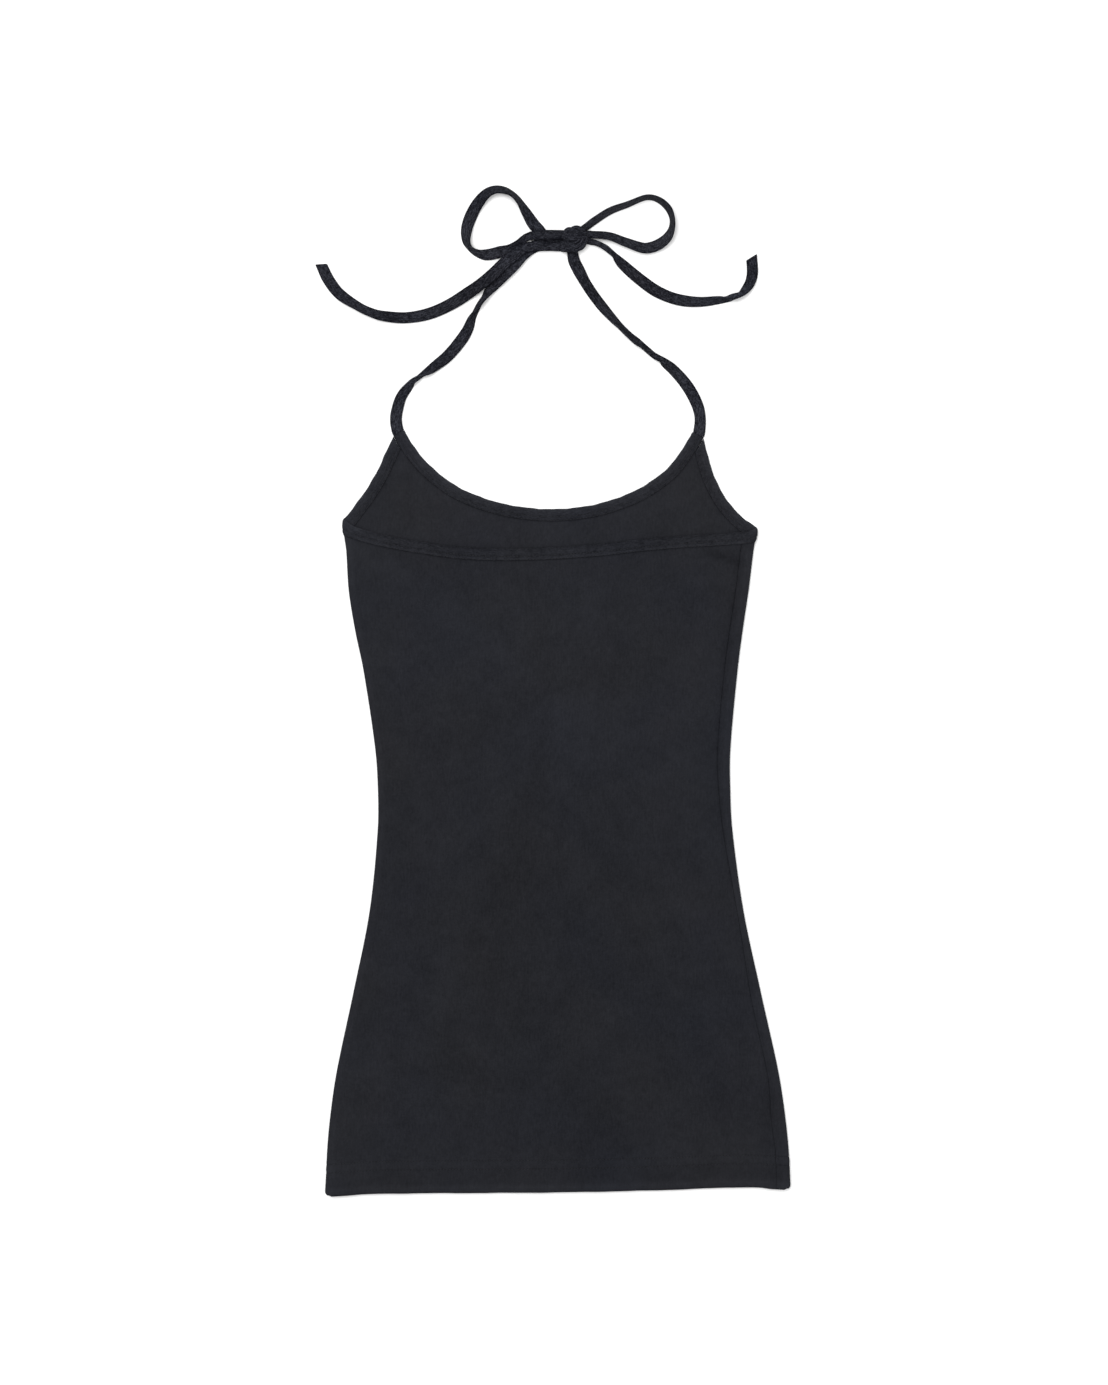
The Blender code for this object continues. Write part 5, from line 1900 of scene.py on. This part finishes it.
@dataclass
class BowKnot:
    """The knot of the bow: a gathered core with turns of the tie laid over it."""

    centre: Pair = (19.4, 397.3)
    radii: Triple = (10.9, 10.8, 4.15)
    power: float = 2.38
    rings: int = 40
    sides: int = 56
    around: int = 22
    strand_step: float = 0.8
    end_ease: float = 1.6
    end_share: float = 0.35
    squareness: float = 0.8
    sunk: float = 0.25
    crimp: Pair = (0.06, 2.6)
    pleat_pitch: float = 1.75
    pleat_height: float = 0.14
    hollow: Pair = (4.2, 3.6)
    hollow_reach: float = 3.2
    core_swell: float = 0.035
    core_shading: Pair = (-0.35, 0.3)
    bridging: Pair = (0.55, 0.45)
    turn_shading: Pair = (-1.2, 5.2)
    pleat_shading: float = 1.5
    hollow_shade: float = 2.0
    drawn_toward: Pair = (0.8, -0.6)
    drawn_from: float = 7.1
    drawn_share: float = 0.75
    strands: tuple[Strand, ...] = (
        Strand(((-14.4, -6, 0.1, 9.4, 1.9), (-10.8, -6.1, 0.9, 10.4, 2.1), (-6.6, -6.2, 0.55, 10.6, 2.1),
                (-2.4, -6.8, 0, 9.6, 2), (1.6, -7.8, -1.4, 7.4, 1.8)), -0.9),
        Strand(((8.4, 4.9, -1.4, 3, 2.6), (9.2, 1.6, -0.1, 3.4, 3), (9, -1.8, 0.1, 3.6, 3.1),
                (7.1, -5.4, 0.1, 3.7, 3.1), (3.6, -8.5, 0, 3.6, 3), (-1.2, -9.9, -0.5, 3.3, 2.6),
                (-4.6, -9.5, -1.8, 2.8, 2.2)), -0.2, 1),
        Strand(((5.6, 4, -1.3, 2.8, 2.4), (5.9, 0.6, 0.15, 3.1, 2.8), (4.5, -3.1, 0.25, 3.2, 2.9),
                (1.6, -5.7, 0.2, 3.2, 2.9), (-2.4, -6.8, -0.1, 3, 2.6), (-5.2, -6.2, -1.5, 2.6, 2.2)),
               -0.2, 1),
        Strand(((2.9, 2.8, -1.2, 2.6, 2.2), (2.8, 0.2, 0.05, 2.8, 2.6), (1.3, -2.3, 0.2, 2.9, 2.7),
                (-1.3, -3.6, 0.1, 2.8, 2.5), (-3.8, -3.6, -1.3, 2.4, 2.2)), -0.4, 0.8),
        Strand(((-9.8, 2.8, -1.4, 3.4, 2.4), (-9.8, 5.6, -0.1, 3.8, 2.9), (-7.9, 8.2, 0.1, 4, 3),
                (-4.9, 9, -0.1, 3.7, 2.8), (-3.2, 7, -1.4, 3.2, 2.2)), -0.1, 0.7),
        Strand(((-4.8, 6, -1.2, 3, 2.2), (-3, 9.3, 0, 3.8, 2.9), (0.6, 10.4, 0.1, 3.9, 3),
                (4.2, 9.1, 0, 3.7, 2.9), (6, 6.2, -1.3, 3.2, 2.2)), 0, 0.7),
        Strand(((14.8, 4.6, -2.6, 6.6, 2.2), (11, 4.2, -0.3, 7.2, 2.3), (7.2, 3.3, 0.5, 7.8, 2.3),
                (3, 2.4, 0.8, 8.2, 2.3), (-1.8, 2, 0.75, 8.2, 2.3), (-6.6, 2.4, 0.35, 7.8, 2.2),
                (-10.4, 3.2, -0.4, 7.2, 2), (-13.6, 3.9, -1.6, 6.4, 1.8)), -0.8, 0.4),
    )

    def drawn_in(self, points: Array) -> Array:
        """Local points in the top's frame, drawn in at the lower right where the turns pull tight.

        Args:
            points: the points.

        Returns:
            The moved points.
        """
        toward = np.array((*self.drawn_toward, 0.0))
        pull = (1.0 - self.drawn_share) * np.maximum(0.0, points @ toward - self.drawn_from)
        return points + np.array((*self.centre, 0.0)) - pull[..., None] * toward

    def top(self, x: Array, y: Array) -> Array:
        """Height of the core's upper face over local places.

        Args:
            x, y: the places.

        Returns:
            The heights.
        """
        rx, ry, rz = self.radii
        used = np.abs(x / rx) ** self.power + np.abs(y / ry) ** self.power
        return rz + rz * np.maximum(0.0, 1.0 - used) ** (1.0 / self.power)

    def core(self) -> Form:
        """The gathered core.

        Returns:
            Its form.
        """
        polar = np.linspace(0.04, math.pi - 0.04, self.rings)[:, None]
        angle = (TURN * np.arange(self.sides) / self.sides)[None, :]
        form = np.stack(np.broadcast_arrays(-np.cos(polar), np.sin(polar) * np.cos(angle),
                                            np.sin(polar) * np.sin(angle)), axis=-1)
        form = np.sign(form) * np.abs(form) ** (2.0 / self.power)
        swell = 1.0 + self.core_swell * np.cos(5.0 * angle + 2.2 * np.sin(2.0 * polar)) * np.sin(polar)
        points = form * np.array(self.radii) * swell[..., None]
        points[..., 2] = np.maximum(0.0, points[..., 2] + self.radii[2])
        # Painted shading: the core darker low down and lighter towards its top
        tone = self.core_shading[0] + self.core_shading[1] * (points[..., 2] / (2.0 * self.radii[2]))
        return ring_form(self.drawn_in(points), points[..., 1::-1], tone)

    def strand(self, strand: Strand) -> Form:
        """One turn over the core.

        Args:
            strand: the turn.

        Returns:
            Its form.
        """
        x, y, *sizes = columns(strand.table)
        route = Route(list(zip(x, y)))
        places = np.linspace(0.0, route.length, max(8, round(route.length / self.strand_step)))
        rises, widths, depths = (Track(route.places, column, steady=True).at(places)[:, None]
                                 for column in sizes)
        ends = smooth(places / self.end_ease) * smooth((route.length - places) / self.end_ease)
        ends = self.end_share + (1.0 - self.end_share) * ends[:, None]
        angle = TURN * np.arange(self.around) / self.around
        across = 0.5 * widths * ends * np.sign(np.cos(angle)) * np.abs(np.cos(angle)) ** self.squareness
        out = 0.5 * depths * ends * np.sin(angle)
        spot = route.point(places)
        flat = spot[:, None] + across[..., None] * route.beside(places)[:, None]
        middle, here = self.top(*spot.T)[:, None], self.top(flat[..., 0], flat[..., 1])
        base = self.bridging[0] * middle + self.bridging[1] * here
        crimp = self.crimp[0] * np.sin(TURN * places / self.crimp[1])[:, None] * (out > 0.0)
        pleats = strand.pleat * np.cos(TURN * across / self.pleat_pitch + 0.8) * (out > 0.1)
        z = base + rises - self.sunk + out + crimp + self.pleat_height * pleats
        points = np.concatenate((flat, np.maximum(0.02, z)[..., None]), axis=-1)
        lie = np.stack((across, np.broadcast_to(places[:, None], across.shape)), axis=-1)
        off = flat - np.array(self.hollow)
        hollow = bell(np.hypot(off[..., 0], 1.6 * off[..., 1]), self.hollow_reach)
        # Painted shading: the turn lighter on top and darker at its sides and below, lighter on its
        # pleats' crests, and a painted shade in the hollow where the loops go in
        tone = (strand.tone + self.turn_shading[0] + self.turn_shading[1] * (out / depths)
                + self.pleat_shading * pleats - self.hollow_shade * hollow)
        return ring_form(self.drawn_in(points), lie, tone)

    def form(self) -> Form:
        """The whole knot."""
        return Form.join([self.core()] + [self.strand(strand) for strand in self.strands])


@dataclass
class Studio:
    """A plain pale floor, soft light and the camera straight above."""

    view_height: float = 1.2188
    centre: Pair = (0.0001, -0.0009)
    lens: float = 100.0
    sensor: float = 36.0
    clip: Pair = (0.1, 50.0)
    floor_size: float = 80.0
    floor_drop: float = 0.0003
    floor_grey: float = 0.93
    surround: float = 0.9
    lights: tuple[tuple[str, Triple, float, float], ...] = (
        ("key", (-1.35, 1.45, 3.3), 3.0, 113.0), ("fill", (2.4, -1.6, 3.0), 2.4, 24.0))

    def build(self) -> None:
        """Make the camera, the floor and the lights."""
        self._camera()
        self._floor()
        self._lights()

    def _camera(self) -> None:
        """A long lens that looks straight down, with the top of the view along +Y."""
        data = bpy.data.cameras.new("camera")
        data.lens, data.sensor_width = self.lens, self.sensor
        data.clip_start, data.clip_end = self.clip
        camera = placed("camera", data)
        camera.location = (*self.centre, self.view_height * self.lens / self.sensor)
        bpy.context.scene.camera = camera

    def _floor(self) -> None:
        """The pale surface that the top lies on."""
        half, level = 0.5 * self.floor_size, -self.floor_drop
        mesh = bpy.data.meshes.new("floor")
        mesh.from_pydata([(-half, -half, level), (half, -half, level), (half, half, level),
                          (-half, half, level)], [], [(0, 1, 2, 3)])
        grey = self.floor_grey
        mesh.materials.append(Graph("pale_floor").dressed({
            "Base Color": (grey, grey, grey, 1.0), "Roughness": 0.95, "Specular IOR Level": 0.0}))
        placed("floor", mesh)

    def _lights(self) -> None:
        """A large soft light from the upper left, a weaker one opposite, and an even surround."""
        world = bpy.data.worlds.new("surround")
        world.use_nodes = True
        background = world.node_tree.nodes["Background"].inputs
        background["Color"].default_value = (1.0, 1.0, 1.0, 1.0)
        background["Strength"].default_value = self.surround
        bpy.context.scene.world = world
        for name, place, size, power in self.lights:
            data = bpy.data.lights.new(name, "AREA")
            data.shape, data.size, data.energy = "DISK", size, power
            light = placed(name, data)
            light.location = place
            x, y, z = place
            light.rotation_euler = (math.atan2(math.hypot(x, y), z), 0.0,
                                    math.atan2(-y, -x) - 0.5 * math.pi)
        bpy.context.scene.view_settings.view_transform = "Standard"


@dataclass
class HalterTop:
    """The whole garment."""

    materials: Wardrobe
    body: LaidBody = field(default_factory=LaidBody)
    stitching: Stitching = field(default_factory=Stitching)
    cut_gap: float = 0.25
    cut_length: float = 15.0
    seam_raise: float = 0.3
    tie_cut: float = 0.0215
    neck: FoldedBinding = field(init=False)
    armholes: FoldedBinding = field(init=False)
    bodice: Bodice = field(init=False)

    def __post_init__(self) -> None:
        """Lay out the bindings, which the panels' tops follow."""
        def put_under(x: Array, y: Array, out: Array) -> Array:
            """Points of the neck's strip, flat on the surface."""
            return np.stack((x, y, 0.5 * STRIP_DEPTH - out), axis=-1)

        def put_round(girth: Array, y: Array, out: Array) -> Array:
            """Points of the armholes' and back's strip, laid round the body."""
            return self.body.place(girth, y, STRIP_DEPTH, out)

        self.neck = FoldedBinding("neck_binding", Route(NECK_EDGE), put_under)
        length = self.neck.route.length
        corners, cuts = [], []
        for end, later in ((0.0, self.cut_length), (length, length - self.cut_length)):
            corner = self.neck.seam(np.array(end), self.cut_gap)
            line = self.neck.seam(np.array(later), self.cut_gap) - corner
            corners.append(tuple(corner))
            # On the under layer girth runs against x
            cuts.append(np.array((-line[0], line[1])) / np.linalg.norm(line))
        left, right = ([(self.body.under_girth(side, x, y), y) for x, y in points]
                       for side, points in ((Side.LEFT, (corners[0], *LEFT_ARMHOLE)),
                                            (Side.RIGHT, (*RIGHT_ARMHOLE, corners[1]))))
        self.armholes = FoldedBinding("armhole_back_binding", Route([*left, *BACK_EDGE, *right]),
                                      put_round, cuts=(cuts[0], cuts[1]), body=self.body)
        self.bodice = Bodice(self.body, self.armholes, self.neck)

    def _sheet(self, name: str, form: Form, threads: Form, kind: str, flat: Pair, rests_on: list[str],
               sewn_name: str = "_stitches", going: Sequence[bpy.types.Object] = (),
               **stated: float) -> None:
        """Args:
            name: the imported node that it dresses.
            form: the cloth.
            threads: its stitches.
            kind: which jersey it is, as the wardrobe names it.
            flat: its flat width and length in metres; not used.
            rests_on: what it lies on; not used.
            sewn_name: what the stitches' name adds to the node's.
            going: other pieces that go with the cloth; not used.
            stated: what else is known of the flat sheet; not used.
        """
        piece = make_piece(name + "_cloth", form, getattr(self.materials, kind), (name,))
        sewn = make_piece(name + sewn_name, threads, self.materials.thread)

    def build(self) -> None:
        """Make every piece: the panels, the bindings, the knot and the six stretches of the tie."""
        bodice, stitching = self.bodice, self.stitching
        for name, (blocks, gaps), edges, upper, flat, area in (
                ("front_panel", bodice.front_blocks(), bodice.front_edges(), False,
                 (0.418, 0.658), 0.215),
                ("back_panel", bodice.back_blocks(), [bodice.edge], True, (0.404, 0.591), 0.1955)):
            form = bodice.panel.form(blocks, edges, gaps, 0.0 if upper else self.seam_raise)
            self._sheet(name, form, bodice.hem_stitches(stitching, upper), "body", flat,
                        ["front_panel"] if upper else ["floor"], "_hem_stitches", area=area)
        for binding in (self.armholes, self.neck):
            self._sheet(binding.name, binding.form(), binding.threads(stitching), "binding",
                        (2.0 * binding.width * MM, binding.route.length * MM),
                        ["front_panel", "back_panel", "floor"])
        knot = make_piece("knot_cloth", BowKnot().form(), self.materials.tie, ("knot",))
        for tie in (SelfTie("strap_left", STRAP_LEFT, 0.3, 8.0, dents=(LOWER_EDGE,)),
                    SelfTie("strap_right", STRAP_RIGHT, 0.3, 4.0),
                    SelfTie("tail_left", TAIL_LEFT, 8.0, closed_end=True, slant=0.4,
                            dents=(*KNOT_HOLLOWS, UPPER_EDGE)),
                    SelfTie("tail_right", TAIL_RIGHT, 4.0, closed_end=True, slant=-0.55),
                    SelfTie("loop_left", LOOP_LEFT, 0.0, 8.0, dents=KNOT_HOLLOWS),
                    SelfTie("loop_right", LOOP_RIGHT, 5.0, 3.0, paleness=0.6)):
            self._sheet(tie.name, tie.form(), tie.threads(stitching), "tie",
                        (self.tie_cut, tie.length * MM), ["floor"],
                        going=[knot] if tie.name == "loop_right" else [])


def main() -> None:
    """Build the top, its light and its camera."""
    logging.basicConfig(level=logging.INFO, format="%(message)s")
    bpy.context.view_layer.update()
    Studio().build()
    HalterTop(Wardrobe()).build()
    bpy.context.view_layer.update()


if __name__ == "__main__":
    main()
